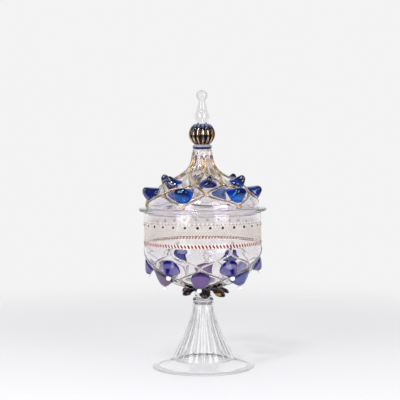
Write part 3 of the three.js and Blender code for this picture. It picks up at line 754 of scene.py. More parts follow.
bowl = {
    "radius": 64.2 * mm,
    "wall": 2.2 * mm,
    "turnHeight": 44 * mm,
    "bottomRadius": 11 * mm,
    "bottomInside": 2.48 * mm,      # where the inner wall ends, above the bowl's foot
    "bottomDip": 0.3 * mm,
    "turnUp": 0.5,
    "bottomOut": 0.62,
    "bottomUp": 0.14,
    "nodeHeights": [43.5 * mm, 26.9 * mm, 12 * mm, 2 * mm],
    "fadeHeight": 5 * mm,
    "evenHeight": 22 * mm,
    "goldHeight": 8 * mm,
    "leastGilt": 0.62,      # how much of the ribs' height is lustred above the upper petals
    "netAngle": 27,
}
bowlLow, bowlRim = heightsOf("bowl")
bowlOutline = outlineOf([
    [(bowl["radius"], bowlRim), (bowl["radius"], bowlLow + bowl["turnHeight"])],
    [
        (bowl["radius"], bowlLow + bowl["turnHeight"]),
        (bowl["radius"], bowlLow + bowl["turnHeight"] * bowl["turnUp"]),
        (lerp(bowl["bottomRadius"], bowl["radius"], bowl["bottomOut"]),
         bowlLow + bowl["turnHeight"] * bowl["bottomUp"]),
        (bowl["bottomRadius"], bowlLow),
    ],
])


def makeBowl():
    turn, rows, half = bowl["netAngle"], 130, bowl["wall"] / 2
    heights = [bowlLow + height for height in bowl["nodeHeights"]]
    places = [placeAtHeight(bowlOutline, height) for height in heights]
    fadePlace = placeAtHeight(bowlOutline, heights[0] + bowl["fadeHeight"])
    evenPlace = placeAtHeight(bowlOutline, heights[0] + bowl["evenHeight"])
    goldPlace = placeAtHeight(bowlOutline, heights[1] + bowl["goldHeight"])
    nodes = [(0.0, 0, 0.0), (fadePlace, 0, 0.0)]
    nodes += [(place, i % 2, 1.0) for i, place in enumerate(places)] + [(1.0, 1, 0.0)]
    firstRow = half / bowlOutline["length"]
    # up the inside, over the rim and down outside
    insideLow = placeAtHeight(bowlOutline, bowlLow + bowl["bottomInside"])
    rings = innerRings(bowlOutline, bowl["wall"], insideLow, firstRow, turn)
    rings.insert(0, [Vector((0, 0, rings[0][0].z - bowl["bottomDip"]))])
    lip = arc((bowl["radius"] - half, bowlRim - half), half, 180, 0, 8)[1:-1]
    rings += turnedRings(lip, netColumnCount, turn)
    values = noRibs(rings)
    for i in range(rows + 1):
        place = lerp(firstRow, 1.0, i / rows)
        even = 1 - smooth(evenPlace, fadePlace, place)
        gilt = lerp(bowl["leastGilt"], 1.0, smooth(goldPlace, places[1], place))
        ring, rises = netRing(bowlOutline, nodes, place, turn, even, net["bowlRib"], i == rows)
        rings.append(ring)
        values.append([rise * gilt for rise in rises])
    rings.append([Vector((0, 0, bowlLow))])
    values.append([0.0])
    mesh = ringMesh("bowl", rings, values=values, sharpAngle=60)
    addPiece("bowl", mesh, bowlGlass, "cup", "clear_glass", ["bowl"])


# Petals

# Half width and half length of the seat on the wall, how far the tip stands out and up or down from the
# seat, half the tip's width, where it has narrowed to it, how far the glass is drawn out at the tip, the
# share of the petal's width that sits on the wall, how dark its seat and its tip are, partly as thick
# glass and partly as painted shade, and where the dark drop in its middle starts. "made" says how a petal
# came out
# by hand: turned by degrees, and its tip moved sideways, out and up. "raised" is how far a row sits above
# the nodes of the net. The bowl's petals have a pearl on the tip, the cover's have none.
coverUpper = {
    "halfWidth": 10.4 * mm, "halfLength": 8 * mm, "tipOut": 6.8 * mm, "tipRise": 6.6 * mm,
    "tipHalfWidth": 2.6 * mm, "taper": 0.75, "drawn": 2.2 * mm, "seat": 0.9,
    "darkShadedSeat": 0.2, "darkShadedTip": (0.1, 0.6), "drop": (0.0, 0.4), "fullness": 0.95, "made": {},
}
coverLower = {
    "halfWidth": 9.9 * mm, "halfLength": 10.4 * mm, "tipOut": 9.4 * mm, "tipRise": 5 * mm,
    "tipHalfWidth": 6.4 * mm, "taper": 1.2, "drawn": 2.0 * mm, "seat": 0.94,
    "darkShadedSeat": 0.4, "darkShadedTip": (0.34, 0.8), "drop": (0.6, 0.9), "fullness": 0.8, "made": {},
    "raised": -1.4 * mm,
}
bowlUpper = {
    "halfWidth": 10.8 * mm, "halfLength": 9.5 * mm, "tipOut": 0.8 * mm, "tipRise": -9.6 * mm,
    "tipHalfWidth": 4.2 * mm, "taper": 1.15, "drawn": 0.0, "seat": 0.96,
    "darkShadedSeat": 1.0, "darkShadedTip": (0.7, 0.9), "drop": (0.42, 0.54), "fullness": 0.92,
    "pearl": 2.7 * mm, "pearlOut": 1.0 * mm,
    "made": {0: (0.5, 2, 1, 0), 1: (0, 1, 2, 2), 4: (0, 0, 0, -2), 5: (-2, -1.6, 1, 0.4)},
}
bowlLower = {
    "halfWidth": 11.4 * mm, "halfLength": 12 * mm, "tipOut": -1.5 * mm, "tipRise": -10.4 * mm,
    "tipHalfWidth": 5 * mm, "taper": 1.2, "drawn": 0.0, "seat": 0.94,
    "darkShadedSeat": 1.0, "darkShadedTip": (0.85, 1.0), "drop": (0.8, 1.0), "fullness": 0.92,
    "pearl": 2.7 * mm, "pearlOut": 2.0 * mm, "raised": 2.8 * mm,
    "made": {0: (0, 1, 1, 1), 4: (0, 1, 0, 0), 5: (0, -1.6, 0, 0.4)},
}
petalForm = {
    "tipHalfThickness": 2.7 * mm,
    "bulge": 1.6 * mm,
    "backBulge": 0.6,       # how much of that bulge the back has
    "sink": 0.3 * mm,       # how far the seat is melted into the wall
    "capFrom": 0.8,         # where the round end of the tip starts
    "steps": 30,
    "sides": 40,
    "widths": (0.96, 1.05),         # how much the petals differ, as shares
    "lengths": (0.97, 1.04),
    "unevenness": (7 * mm, 0.35 * mm),
    "pearlUnevenness": (3 * mm, 0.08),
    "seed": 11,
}


# Cosine and sine of evenly spaced angles
def circle(count):
    return [(math.cos(math.tau * i / count), math.sin(math.tau * i / count)) for i in range(count)]


# Rings of one petal from the middle of its seat to its tip, its darkness with painted shade at each, and
# the middle of its pearl
def petalRings(outline, seatHeight, petal, angle, made, chance):
    turned, aside, out, up = made
    angle += turned
    place = placeAtHeight(outline, seatHeight)
    upwards = math.copysign(1, petal["tipRise"])
    width = petal["halfWidth"] * chance.uniform(*petalForm["widths"])
    length = petal["halfLength"] * chance.uniform(*petalForm["lengths"])
    sway = (chance.uniform(-1, 1) + aside) * mm
    tipOut = petal["tipOut"] + (chance.uniform(-0.5, 0.5) + out) * mm
    tipRise = petal["tipRise"] + (chance.uniform(-0.5, 0.5) + up) * mm
    reach = length / outline["length"] * upwards
    seat = alongOutline(outline, place)
    tip = seat + Vector((tipOut, tipRise))
    run = (tip - seat).normalized()
    tip += run * petal["drawn"]
    side = Vector((-run.y, run.x)) * -upwards
    curves = []
    for sign, share in ((1, 1.0), (-1, petalForm["backBulge"])):
        start = alongOutline(outline, place + sign * reach)
        end = tip + side * petalForm["tipHalfThickness"] * sign
        curves.append([start, start.lerp(end, 0.5) + side * petalForm["bulge"] * share, end])
    face, back = curves

    # a point of the seat, melted into the wall: share 0 is its middle and 1 its edge
    def seatPoint(lengthwise, crosswise, share):
        spotPlace = place + reach * share * lengthwise
        point = alongOutline(outline, spotPlace) - outwardAt(outline, spotPlace) * petalForm["sink"]
        turn = math.degrees(width * petal["seat"] * share * crosswise / max(point.x, 1e-6))
        return around(point.x, angle + turn, point.y)

    # a little squarer than an ellipse
    section = [[math.copysign(abs(v) ** petal["fullness"], v) for v in pair]
               for pair in circle(petalForm["sides"])]
    rings = [[seatPoint(1.0, 0.0, 0.0)]]
    rings += [[seatPoint(c, w, share) for c, w in section] for share in (0.4, 0.75, 1.0)]
    shading = [[petal["darkShadedSeat"] * part] * len(ring) for part, ring in zip((0.1, 0.15, 0.4, 1.0), rings)]
    for i in range(1, petalForm["steps"]):
        share = i / petalForm["steps"]
        facePoint, backPoint = bezier(face, share), bezier(back, share)
        middle = facePoint.lerp(backPoint, 0.5)
        cap = roundEnd(petalForm["capFrom"], share)
        narrow = lerp(1.0, petal["tipHalfWidth"] / width, smooth(0.0, petal["taper"], share))
        swell = lerp(petal["seat"], 1.0, math.sin(math.pi / 2 * min(share / 0.25, 1.0)))
        drop = smooth(*petal["drop"], share)
        # the seat and the tip darkened, partly as thick glass and partly as painted shade of the petal's
        # top and edges
        ends = max(petal["darkShadedSeat"] * (1 - smooth(0.18, 0.32, share)), smooth(*petal["darkShadedTip"], share))
        shading.append([max(ends, drop * (1 - smooth(0.3, 0.5, abs(w)))) for c, w in section])
        ring = []
        for (c, w), rootSeat in zip(section, rings[3]):
            point = middle.lerp(backPoint.lerp(facePoint, (1 + c) / 2), cap)
            spot = around(point.x, angle, point.y, width * narrow * cap * swell * w + sway * share ** 2)
            flat = face[0].lerp(back[0], (1 - c) / 2)
            rootFlat = around(flat.x, angle, flat.y, width * petal["seat"] * w)
            spot += (rootSeat - rootFlat) * (1 - share) ** 5
            spot += awayFromAxis(spot) * wobble(spot, *petalForm["unevenness"]) * share
            ring.append(spot)
        rings.append(ring)
    rings.append([around(tip.x, angle, tip.y, sway)])
    pearlSpot = tip + run * petal.get("pearlOut", 0.0)
    return rings, shading + [[1.0]], around(pearlSpot.x, angle, pearlSpot.y, sway)


# Round drop of white glass, a little uneven
def pearlRings(spot, radius):
    rings = turnedRings(arc((0.0, 0.0), radius, 90, -90, 12), 24)
    for ring in rings:
        for point in ring:
            point += spot + point * wobble(spot + point, *petalForm["pearlUnevenness"])
    return rings


def addPetalRow(row, outline, body, seatHeight, petal, firstAngle, glasses, slot):
    chance = random.Random(petalForm["seed"] + len(row) * 7 + int(firstAngle))
    node = row.replace("Upper", "_upper").replace("Lower", "_lower")
    pearls = []
    for i, glass in enumerate(glasses):
        angle = firstAngle + i * 360 / net["repeats"]
        made = petal["made"].get(i, (0, 0, 0, 0))
        rings, values, pearlSpot = petalRings(outline, seatHeight, petal, angle, made, chance)
        name = f"{row}Petal{i + 1}"
        mesh = ringMesh(name, rings, values=values, sharpAngle=75, attribute="thickAndShaded")
        addPiece(name, mesh, glass, body, slot, [f"{node}_petal_{i + 1}"])
        if "pearl" in petal:
            pearls.append(pearlRings(pearlSpot, petal["pearl"]))
    for i, rings in enumerate(pearls):
        name = f"{row}Pearl{i + 1}"
        addPiece(name, ringMesh(name, rings), pearlGlass, body, "white_glass", [f"{node}_pearl_{i + 1}"])


# Dark leaves around the stem collar

leaf = {
    # angle, how far the tip reaches from the axis and hangs below the bowl, half the width, and where the
    # round end of the tip starts
    "tips": [
        (5, 25.6 * mm, 8.9 * mm, 6.2 * mm, 0.5),
        (55, 27.8 * mm, 8.7 * mm, 8.4 * mm, 0.72),
        (100, 29.2 * mm, 6.5 * mm, 9 * mm, 0.72),
        (165, 27.1 * mm, 6.7 * mm, 9 * mm, 0.72),
        (240, 24.9 * mm, 5.3 * mm, 8.4 * mm, 0.72),
        (300, 24.4 * mm, 7.4 * mm, 7.6 * mm, 0.72),
    ],
    "rootRadius": 9.4 * mm,
    "rootDrop": 1.4 * mm,
    "rootEnd": 0.12,        # share of the length in which the root has its full width
    "archRadius": 21 * mm,
    "archRise": 2 * mm,
    "rootHalfWidth": 7.5 * mm,
    "halfThickness": 1.8 * mm,
    "cup": 3.4 * mm,        # how far the edges hang below the middle
    "air": 0.25 * mm,       # between two leaves
    "steps": 22,
    "sides": 36,
    "unevenness": (6 * mm, 0.4 * mm),
}


def makeLeaves():
    tips, steps = leaf["tips"], leaf["steps"]
    start = Vector((leaf["rootRadius"], bowlLow - leaf["rootDrop"]))
    arch = Vector((leaf["archRadius"], bowlLow + leaf["archRise"]))
    for i, (angle, reach, drop, fullest, blunt) in enumerate(tips):
        line = [start, arch, Vector((reach, bowlLow - drop))]
        gap = min((tips[(i + 1) % len(tips)][0] - angle) % 360, (angle - tips[i - 1][0]) % 360)
        rings = [[around(start.x, angle, start.y)]]
        for step in range(1, steps):
            share = step / steps
            point = bezier(line, share)
            along = (bezier(line, share + 0.01) - point).normalized()
            across = Vector((-along.y, along.x))
            swell = math.sin(math.pi * min(share * 0.86 + 0.1, 1.0)) ** 0.75
            room = point.x * math.tan(math.radians(gap / 2)) - leaf["air"]
            width = min(lerp(leaf["rootHalfWidth"], fullest, swell), room)
            close = roundEnd(blunt, share)
            if share < leaf["rootEnd"]:
                close = math.sqrt(max(1 - (1 - share / leaf["rootEnd"]) ** 2, 0.05))
            ring = []
            for c, s in circle(leaf["sides"]):
                sideways = width * close * s
                lift = leaf["halfThickness"] * c * close * (1 + 0.25 * s ** 2)
                lift -= leaf["cup"] * (sideways / fullest) ** 2 * share
                lifted = point + across * lift
                spot = around(lifted.x, angle, lifted.y, sideways)
                spot.z += wobble(spot, *leaf["unevenness"]) * share
                ring.append(spot)
            rings.append(ring)
        rings.append([around(line[2].x, angle, line[2].y)])
        name = f"whorlLeaf{i + 1}"
        mesh = ringMesh(name, rings, sharpAngle=75)
        addPiece(name, mesh, amethystGlass, "cup", "amethyst_glass", [f"whorl_leaf_{i + 1}"])


# Enamel on the bowl's wall

band = {
    "radius": bowl["radius"] + 0.02 * mm,
    "dotHeight": 158 * mm,
    "dotCount": 30,
    "firstDot": -5,
    "dotRadius": 1.4 * mm,
    "dotThickness": 0.45 * mm,
    "dotLift": 0.08 * mm,   # the dots lie on their beds
    "bedRadius": 1.6 * mm,
    "haloDots": 10,
    "haloDotRadius": 0.42 * mm,
    "haloRadius": 2.5 * mm,
    "beadHeight": 162.2 * mm,
    "beadCount": 90,
    "beadRadius": 0.8 * mm,
    "beadThickness": 0.4 * mm,
    "smallBeadDrop": 1.0 * mm,
    "smallBeadRadius": 0.6 * mm,
    "ropeHeight": 138.2 * mm,
    "ropeWidth": 3.4 * mm,
    "strokeLength": 3.5 * mm,
    "strokeWidth": 2.7 * mm,
    "strokeSlant": 1.1 * mm,
    "strokeThickness": 0.36 * mm,
    "strokeCount": 106,
    "scaleWidth": 3.3 * mm,
    "scaleHeight": 2.2 * mm,
    "scaleLine": 0.34 * mm,
    "scalesFrom": 0.5 * mm,         # above the rope
    "scalesTo": 1.2 * mm,   # below the beads
    "speckRadius": 0.58 * mm,
    "speckHeight": 0.42,    # where a speck sits on its scale
    "thin": 0.12 * mm,      # how thick the paint lies
    "low": 0.25 * mm,
    "seed": 3,
}


# Low domes of paint, lying in the XZ plane and facing -Y
def domePart(name, radius, thickness, sides, rows, spots=((0.0, 0.0),)):
    skins = []
    for x, z in spots:
        rings = [[Vector((x, 0.0, z))]]
        for i in range(rows):
            a = math.pi / 2 * i / rows
            reach, front = radius * math.cos(a), -thickness * math.sin(a)
            rings.append([Vector((x + reach * c, front, z + reach * s)) for c, s in circle(sides)])
        skins.append(rings + [[Vector((x, -thickness, z))]])
    return ringMesh(name, *skins, sharpAngle=180)


# Stroke of paint along a line in the XZ plane, with a lens-shaped section and narrow ends
def strokePart(name, line, width, thickness):
    rings = []
    for i, (x, z) in enumerate(line):
        before, after = line[max(i - 1, 0)], line[min(i + 1, len(line) - 1)]
        along = Vector((after[0] - before[0], after[1] - before[1])).normalized()
        wide = width * (0.35 if i in (0, len(line) - 1) else 1.0)
        rings.append([Vector((x - along.y * u * wide, -depth * thickness, z + along.x * u * wide))
                      for u, depth in ((-0.5, 0.0), (-0.25, 0.85), (0.25, 0.85), (0.5, 0.0))])
    first, last = (sum(ring, Vector()) / 4 for ring in (rings[0], rings[-1]))
    return ringMesh(name, [[first]] + rings + [[last]], sharpAngle=80)


# Small parts in a row around the bowl
def addEnamelRow(name, part, material, count, height, unevenness, start=0.0, **more):
    inputs = {"Count": count, "Rows": 1, "Radius": band["radius"], "Height": height, "Row Step": 0.0,
              "Stagger": 0.0, "Start Angle": start, "Unevenness": unevenness, "Seed": band["seed"], **more}
    addPiece(name, grown(name, part, wallRows, inputs, material), material, "cup", "white_glass")


def makeEnamel():
    dots, dotHeight, firstDot = band["dotCount"], band["dotHeight"], math.radians(band["firstDot"])
    bed = domePart("bedPart", band["bedRadius"], band["thin"], 16, 2)
    addEnamelRow("dotBeds", bed, scaleGold, dots, dotHeight, 0.05, firstDot)
    dot = domePart("dotPart", band["dotRadius"], band["dotThickness"], 16, 4)
    addEnamelRow("enamelDots", dot, darkEnamel, dots, dotHeight, 0.1, firstDot,
                 Radius=band["radius"] + band["dotLift"])
    spots = [(band["haloRadius"] * c, band["haloRadius"] * s) for c, s in circle(band["haloDots"])]
    halo = domePart("haloPart", band["haloDotRadius"], band["thin"], 8, 2, spots)
    addEnamelRow("enamelHalos", halo, whiteEnamel, dots, dotHeight, 0.04, firstDot)
    beads, beadHeight = band["beadCount"], band["beadHeight"]
    bead = domePart("beadPart", band["beadRadius"], band["beadThickness"], 10, 3)
    addEnamelRow("whiteBeads", bead, whiteEnamel, beads, beadHeight, 0.1)
    small = domePart("smallBeadPart", band["smallBeadRadius"], band["low"], 8, 2)
    addEnamelRow("pinkBeads", small, pinkEnamel, beads, beadHeight - band["smallBeadDrop"], 0.15,
                 math.pi / beads)

    # gold scales with a white dot in each, from the rope up to the beads
    width, height = band["scaleWidth"], band["scaleHeight"]
    low = band["ropeHeight"] + band["ropeWidth"] / 2 + band["scalesFrom"]
    rows = int((beadHeight - band["scalesTo"] - low) / height)
    rows = {"Rows": rows, "Row Step": height, "Stagger": 0.5}
    count = int(math.tau * band["radius"] / width)
    line = [(width / 2 * c, height * s) for c, s in circle(16)[:9]]
    scale = strokePart("scalePart", line, band["scaleLine"], band["thin"])
    addEnamelRow("goldScales", scale, scaleGold, count, low, 0.0, **rows)
    speck = domePart("speckPart", band["speckRadius"], band["low"], 8, 2)
    low += height * band["speckHeight"]
    addEnamelRow("whiteSpecks", speck, whiteEnamel, count, low, 0.25, **rows)

    # the rope: a cream ribbon with slanting red strokes
    outline = []
    for c, s in circle(12)[:7]:
        outline.append((band["radius"] + (0.1 + 0.1 * max(s, 0.0) ** 0.4) * mm,
                        band["ropeHeight"] - band["ropeWidth"] / 2 * c))
    ribbon = ringMesh("ropeRibbon", turnedRings(outline, 240), closed=True, sharpAngle=80)
    addPiece("ropeRibbon", ribbon, creamEnamel, "cup", "white_glass")
    long, slant = band["strokeLength"] / 2, band["strokeSlant"]
    line = [(-slant, long), (-slant * 0.35, long * 0.4), (slant * 0.35, -long * 0.4), (slant, -long)]
    stroke = strokePart("strokePart", line, band["strokeWidth"], band["strokeThickness"])
    addEnamelRow("ropeStrokes", stroke, redEnamel, band["strokeCount"], band["ropeHeight"], 0.06)


# Cover: flange, locating ring and bell

bell = {
    "radius": 61.8 * mm,
    "wall": 2.2 * mm,
    "shoulderRadius": 34 * mm,
    "shoulderHeight": 30 * mm,
    "neckRadius": 10.2 * mm,
    "neckSolid": 8 * mm,
    "neckDown": 0.59,
    "flareOut": 0.41,
    "flareDown": 0.79,
    "shoulderOut": 0.5,
    "rimUp": 0.48,
    "nodeHeights": [47 * mm, 27.3 * mm, 17.6 * mm, 3 * mm],
    "neckRib": 0.6,
    "neckGilt": 0.1,
    "giltFade": (0.02, 0.16),       # where the lustre comes in, below the neck
    "netAngle": 9,
    # angle and height of a node, and how far it was pulled aside
    "pulls": [(-21, 27.3 * mm, 9), (39, 27.3 * mm, -5), (9, 17.6 * mm, -6)],
}
flange = {
    "overhang": 5.9 * mm,
    "locatingWall": 2 * mm,
    "locatingClearance": 1.1 * mm,
    "seam": 1.4 * mm,       # radius of the melted seam between bell and flange
    "slope": 0.4 * mm,
    "boreStep": 0.5 * mm,   # the slope's foot in the bore, below the flange's top
    "innerStart": 1.5 * mm,         # where the bell's inner wall starts, above the flange
    "crownRise": 2.5 * mm,  # height of the hollow's pointed end in the neck
    "neckRingRadius": 10.9 * mm,
}
bellLow, bellTop = heightsOf("cover_bell")


def bellCurves():
    neck = Vector((bell["neckRadius"], bellTop))
    shoulder = Vector((bell["shoulderRadius"], bellLow + bell["shoulderHeight"]))
    rim = Vector((bell["radius"], bellLow))
    neckHandle = Vector((neck.x, lerp(neck.y, shoulder.y, bell["neckDown"])))
    flareHandle = Vector((lerp(neck.x, shoulder.x, bell["flareOut"]),
                          lerp(neck.y, shoulder.y, bell["flareDown"])))
    flare = (shoulder - flareHandle).normalized()
    shoulderHandle = shoulder + flare * (rim.x - shoulder.x) * bell["shoulderOut"]
    rimHandle = Vector((rim.x, lerp(rim.y, shoulder.y, bell["rimUp"])))
    return [[neck, neckHandle, flareHandle, shoulder], [shoulder, shoulderHandle, rimHandle, rim]]


bellOutline = outlineOf(bellCurves())


# Bell, neck ring, flange and locating ring, melted into one body of glass
def makeCover():
    turn, rows, seam, slope = bell["netAngle"], 120, flange["seam"], flange["slope"]
    places = [placeAtHeight(bellOutline, bellLow + height) for height in bell["nodeHeights"]]
    lastPlace = placeAtHeight(bellOutline, bellLow + seam)
    nodes = [(0.0, 0.5, bell["neckRib"])]
    nodes += [(place, i % 2, 1.0) for i, place in enumerate(places)] + [(1.0, 1, 0.0)]
    pulls = [(angle, bellLow + height, amount) for angle, height, amount in bell["pulls"]]
    low, high = heightsOf("neck_ring")
    high -= hair
    half = (high - low) / 2
    neckRing = arc((flange["neckRingRadius"] - half, low + half), half, 90, -70, 8)
    rings = turnedRings([(0.0, high)] + neckRing, netColumnCount, turn)
    values = noRibs(rings)
    for i in range(1, rows + 1):
        place = lastPlace * i / rows
        even = smooth(places[-1], lastPlace, place)
        gilt = lerp(bell["neckGilt"], 1.0, smooth(*bell["giltFade"], place))
        ring, rises = netRing(bellOutline, nodes, place, turn, even, net["bellRib"], pulls=pulls)
        rings.append(ring)
        values.append([rise * gilt for rise in rises])
    low, high = heightsOf("cover_flange")
    low += hair
    half, edge = (high - low) / 2, flange["locatingWall"] / 2
    ringFoot = heightsOf("cover_locating_ring")[0]
    locating = bowl["radius"] - bowl["wall"] - flange["locatingClearance"]
    outline = arc((bell["radius"] + seam, high + seam), seam, 180, 270, 4)[1:]
    outline += arc((bowl["radius"] + flange["overhang"] - half, low + half), half, 90, -90, 12)
    outline += [(locating + slope, low), (locating, low - slope)]
    outline += arc((locating - edge, ringFoot + edge), edge, 0, -180, 10)
    outline += [(locating - 2 * edge, high - flange["boreStep"]),
                (bell["radius"] - bell["wall"], high + slope)]
    inside = turnedRings(outline, netColumnCount, turn)
    innerTop = placeAtHeight(bellOutline, bellTop - bell["neckSolid"])
    innerLow = placeAtHeight(bellOutline, high + flange["innerStart"])
    inside += innerRings(bellOutline, bell["wall"], innerLow, innerTop, turn)
    inside.append([Vector((0, 0, inside[-1][0].z + flange["crownRise"]))])
    mesh = ringMesh("coverGlass", rings + inside, values=values + noRibs(inside), sharpAngle=60)
    nodes = ["cover_bell", "cover_flange", "cover_locating_ring", "neck_ring"]
    addPiece("coverGlass", mesh, bellGlass, "cover", "clear_glass", nodes)


# Merese, knop and finial

mereseRadius = 10.8 * mm
knop = {
    "radius": 14.6 * mm,
    "endRadius": 7.6 * mm,
    "ribs": 15,
    "ribAngle": 4,          # where a crest is
    "ribDepth": 1.5 * mm,
    "roundness": 0.9,
    "columnsPerRib": 18,
    "sharpAngle": 60,
    "fullness": 0.66,
}
finial = {
    "footRadius": 5.4 * mm,
    "bellyRadius": 8.5 * mm,
    "bellyHeight": 7.8 * mm,
    "neckRadius": 5.9 * mm,
    "neckHeight": 16.1 * mm,
    "topRadius": 3.4 * mm,
    "wall": 0.9 * mm,
    "hollowDrop": 1.2 * mm,
    "ballRadius": 5.9 * mm,
}


# A turned piece of clear glass on the cover; a second outline is the hollow in it
def addTurned(name, node, material, count, sharpAngle, *outlines):
    skins = [turnedRings(outline, count) for outline in outlines]
    mesh = ringMesh(name, *skins, hollow=True, sharpAngle=sharpAngle)
    addPiece(name, mesh, material, "cover", "clear_glass", [node])


# Flat ring with a half-round edge, a hair short of its neighbours
def makeMerese():
    low, high = heightsOf("neck_merese")
    half = (high - low) / 2 - hair
    side = arc((mereseRadius - half, low + hair + half), half, -90, 90, 14)
    outline = [(0.0, low + hair)] + side + [(0.0, high - hair)]
    addTurned("neckMerese", "neck_merese", mereseGlassPaintedReflection, 96, 50, outline)


def makeKnop():
    low, high = heightsOf("knop")
    low, high, rows = low + hair, high - hair, 56
    outline, depths = [(0.0, low)], [0.0]
    for i in range(rows + 1):
        share = i / rows
        swell = max(math.sin(math.pi * share), 0.0) ** knop["fullness"]
        # the ribs' crests stay inside the knop's full radius
        radius = lerp(knop["endRadius"], knop["radius"] - knop["ribDepth"] / 2, swell)
        outline.append((radius, lerp(low, high, share)))
        depths.append(knop["ribDepth"] * swell)
    rings = turnedRings(outline + [(0.0, high)], knop["ribs"] * knop["columnsPerRib"])
    mesh = moulded("ribbedKnop", rings, depths + [0.0], knop, knopGlass)
    addPiece("ribbedKnop", mesh, knopGlass, "cover", "gilded_blue_glass", ["knop"])


def makeFinial():
    low, high = heightsOf("finial_baluster")
    low += hair
    knots = [Vector(knot) for knot in (
        (finial["footRadius"], low), (finial["bellyRadius"], low + finial["bellyHeight"]),
        (finial["neckRadius"], low + finial["neckHeight"]), (finial["topRadius"], high))]
    slopes = [(knots[min(k + 1, 3)] - knots[max(k - 1, 0)]) / 2 for k in range(4)]
    side, steps = knots[:1], 12
    for k in range(3):
        span = [knots[k], knots[k] + slopes[k] / 3, knots[k + 1] - slopes[k + 1] / 3, knots[k + 1]]
        side += [bezier(span, (i + 1) / steps) for i in range(steps)]
    wall = finial["wall"]
    hollow = [(0.0, low + wall)] + [(r - wall, z) for r, z in side[2:-2]]
    hollow.append((0.0, high - finial["hollowDrop"]))
    outline = [(0.0, low)] + side + [(0.0, high - hair)]
    addTurned("finialBaluster", "finial_baluster", clearGlass, 96, 60, outline, hollow)
    low, high = heightsOf("finial_ball")
    radius = finial["ballRadius"]
    start = -90 + math.degrees(math.asin(finial["topRadius"] / radius))
    outline = [(0.0, low)] + arc((0.0, high - radius), radius, start, 90, 28)[:-1] + [(0.0, high)]
    addTurned("finialBall", "finial_ball", clearGlass, 72, 60, outline)


makeFoot()
print("foot and stem made")
makeBowl()
makeLeaves()
makeEnamel()
addPetalRow("bowlUpper", bowlOutline, "cup", bowlLow + bowl["nodeHeights"][1], bowlUpper, bowl["netAngle"],
            [lilacGlass, lilacGlass, slateGlass, slateGlass, lilacGlass, lilacGlass], "violet_glass")
addPetalRow("bowlLower", bowlOutline, "cup", bowlLow + bowl["nodeHeights"][2] + bowlLower["raised"],
            bowlLower, bowl["netAngle"] + 30,
            [slateGlass, slateGlass, violetGlass, violetGlass, smokeGlass, violetGlass], "violet_glass")
print("bowl made")
makeCover()
addPetalRow("coverUpper", bellOutline, "cover", bellLow + bell["nodeHeights"][1], coverUpper,
            bell["netAngle"], [navyGlass] * 6, "cobalt_glass")
addPetalRow("coverLower", bellOutline, "cover", bellLow + bell["nodeHeights"][2] + coverLower["raised"],
            coverLower, bell["netAngle"] + 30,
            [cobaltGlass, navyGlass, cobaltGlass, cobaltGlass, navyGlass, cobaltGlass], "cobalt_glass")
makeMerese()
makeKnop()
makeFinial()
print("cover made")


# Studio: a pale floor that fades into a pale surround, two soft boxes and a lamp above

studio = {
    "paper": "#f3f3f4",
    "floorPaper": "#f1f0f3",
    "floorRadius": 1.1,
    "fade": (0.28, 0.8),    # where the floor fades out
    "nearEdge": (-0.12, -0.3),      # where the table ends in front, as the glass reflects it
    "fill": 0.66,
    "flag": 0.93,           # how dark the surround is at its sides, as seen through the glass
    "room": 0.12,           # how dark the room around the backdrop is, as the glass reflects it
    "boxSize": (0.86, 1.3),
    "boxDistance": 1.6,
    "boxAngle": 38.5,
    "boxAim": 0.16,
    "leftPower": 12.2,
    "rightPower": 11.4,
    "topPlace": Vector((-0.25, -0.75, 1.25)),
    "topSize": (0.22, 0.22),
    "topAim": 0.15,
    "topPower": 4.1,
    "lens": 110.5,
    "cameraPlace": (-0.00275, -1.345, 0.257),
    "cameraDown": 3.1,      # degrees below the level
    "cameraTurn": -0.35,
}


def makeFloor():
    material, tree, where = newMaterial("paperFloor")
    far = addNode(tree, "VectorMath", {0: where}, operation="LENGTH")
    front = addNode(tree, "SeparateXYZ", {0: where}).outputs["Y"]
    fade, near = (addNode(tree, "MapRange", {0: value, 1: studio[part][0], 2: studio[part][1]}, **eased)
                  for value, part in ((far, "fade"), (front, "nearEdge")))
    glossy = addNode(tree, "LightPath").outputs["Is Glossy Ray"]
    mirrored = addNode(tree, "Math", {0: near, 1: glossy}, operation="MULTIPLY")
    gone = addNode(tree, "Math", {0: mirrored, 1: fade}, operation="MAXIMUM")
    paper = addNode(tree, "BsdfPrincipled",
                    {"Base Color": colour(studio["floorPaper"]), "Roughness": 0.85})
    clear = addNode(tree, "BsdfTransparent")
    mixed = addNode(tree, "MixShader", {0: gone, 1: paper, 2: clear})
    addNode(tree, "OutputMaterial", {"Surface": mixed})
    edge = turnedRings([(studio["floorRadius"], 0.0)], 96)[0]
    mesh = bpy.data.meshes.new("floor")
    mesh.from_pydata(edge, [], [list(range(len(edge)))])
    mesh.materials.append(material)
    floor = linked("floor", mesh)


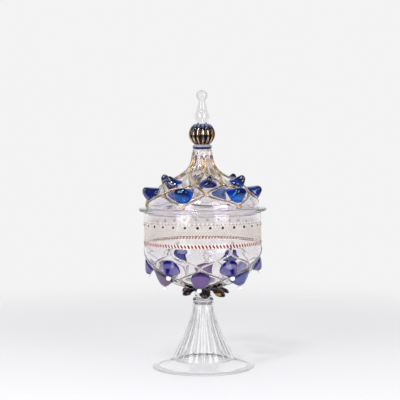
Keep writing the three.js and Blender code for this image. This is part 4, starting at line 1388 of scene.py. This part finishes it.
# The surround: what the camera, the glass and the paper each see of it
def makeSurround():
    world = bpy.data.worlds.new("studio")
    bpy.context.scene.world = world
    world.use_nodes = True
    tree = world.node_tree
    tree.nodes.clear()
    rays = addNode(tree, "LightPath").outputs
    way = addNode(tree, "TexCoord").outputs["Generated"]
    parts = addNode(tree, "SeparateXYZ", {0: way}).outputs
    aside = addNode(tree, "Math", {0: parts["X"]}, operation="ABSOLUTE")
    flag = addNode(tree, "MapRange", {0: aside, 1: 0.45, 2: 0.95, 3: 1.0, 4: studio["flag"]}, **eased)
    room = addNode(tree, "MapRange", {0: parts["Y"], 1: 0.3, 2: 0.75, 3: studio["room"], 4: 1.0}, **eased)
    fill = addNode(tree, "Background", {"Color": colour("#ffffff"), "Strength": studio["fill"]})
    spread = addNode(tree, "Math", {0: rays["Diffuse Depth"], 1: 0.5}, operation="GREATER_THAN")
    shown = fill
    for ray, strength in (("Is Transmission Ray", flag), ("Is Glossy Ray", room), ("Is Camera Ray", 1.0)):
        look = addNode(tree, "Background", {"Color": colour(studio["paper"]), "Strength": strength})
        shown = addNode(tree, "MixShader", {0: rays[ray], 1: shown, 2: look})
    shown = addNode(tree, "MixShader", {0: spread, 1: shown, 2: fill})
    addNode(tree, "OutputWorld", {"Surface": shown})


def makeLamps():
    left, right = (around(studio["boxDistance"], sign * studio["boxAngle"], studio["boxSize"][1] / 2)
                   for sign in (-1, 1))
    for name, place, size, power, aim in (
            ("softboxLeft", left, studio["boxSize"], studio["leftPower"], studio["boxAim"]),
            ("softboxRight", right, studio["boxSize"], studio["rightPower"], studio["boxAim"]),
            ("topLamp", studio["topPlace"], studio["topSize"], studio["topPower"], studio["topAim"])):
        light = bpy.data.lights.new(name, "AREA")
        light.shape = "RECTANGLE"
        light.size, light.size_y = size
        light.energy = power
        lamp = linked(name, light)
        lamp.location = place
        lamp.rotation_euler = (place - Vector((0, 0, aim))).to_track_quat("Z", "Y").to_euler()
        lamp.visible_camera = False


def makeCamera():
    lens = bpy.data.cameras.new("camera")
    lens.lens = studio["lens"]
    lens.sensor_width = 36
    camera = linked("camera", lens)
    camera.location = studio["cameraPlace"]
    down, turn = math.radians(90 - studio["cameraDown"]), math.radians(studio["cameraTurn"])
    aim = Matrix.Rotation(down, 3, "X") @ Matrix.Rotation(turn, 3, "Z")
    camera.rotation_euler = aim.to_euler()
    bpy.context.scene.camera = camera


makeFloor()
makeSurround()
makeLamps()
makeCamera()
bpy.context.scene.view_settings.view_transform = "Standard"
print("studio made")
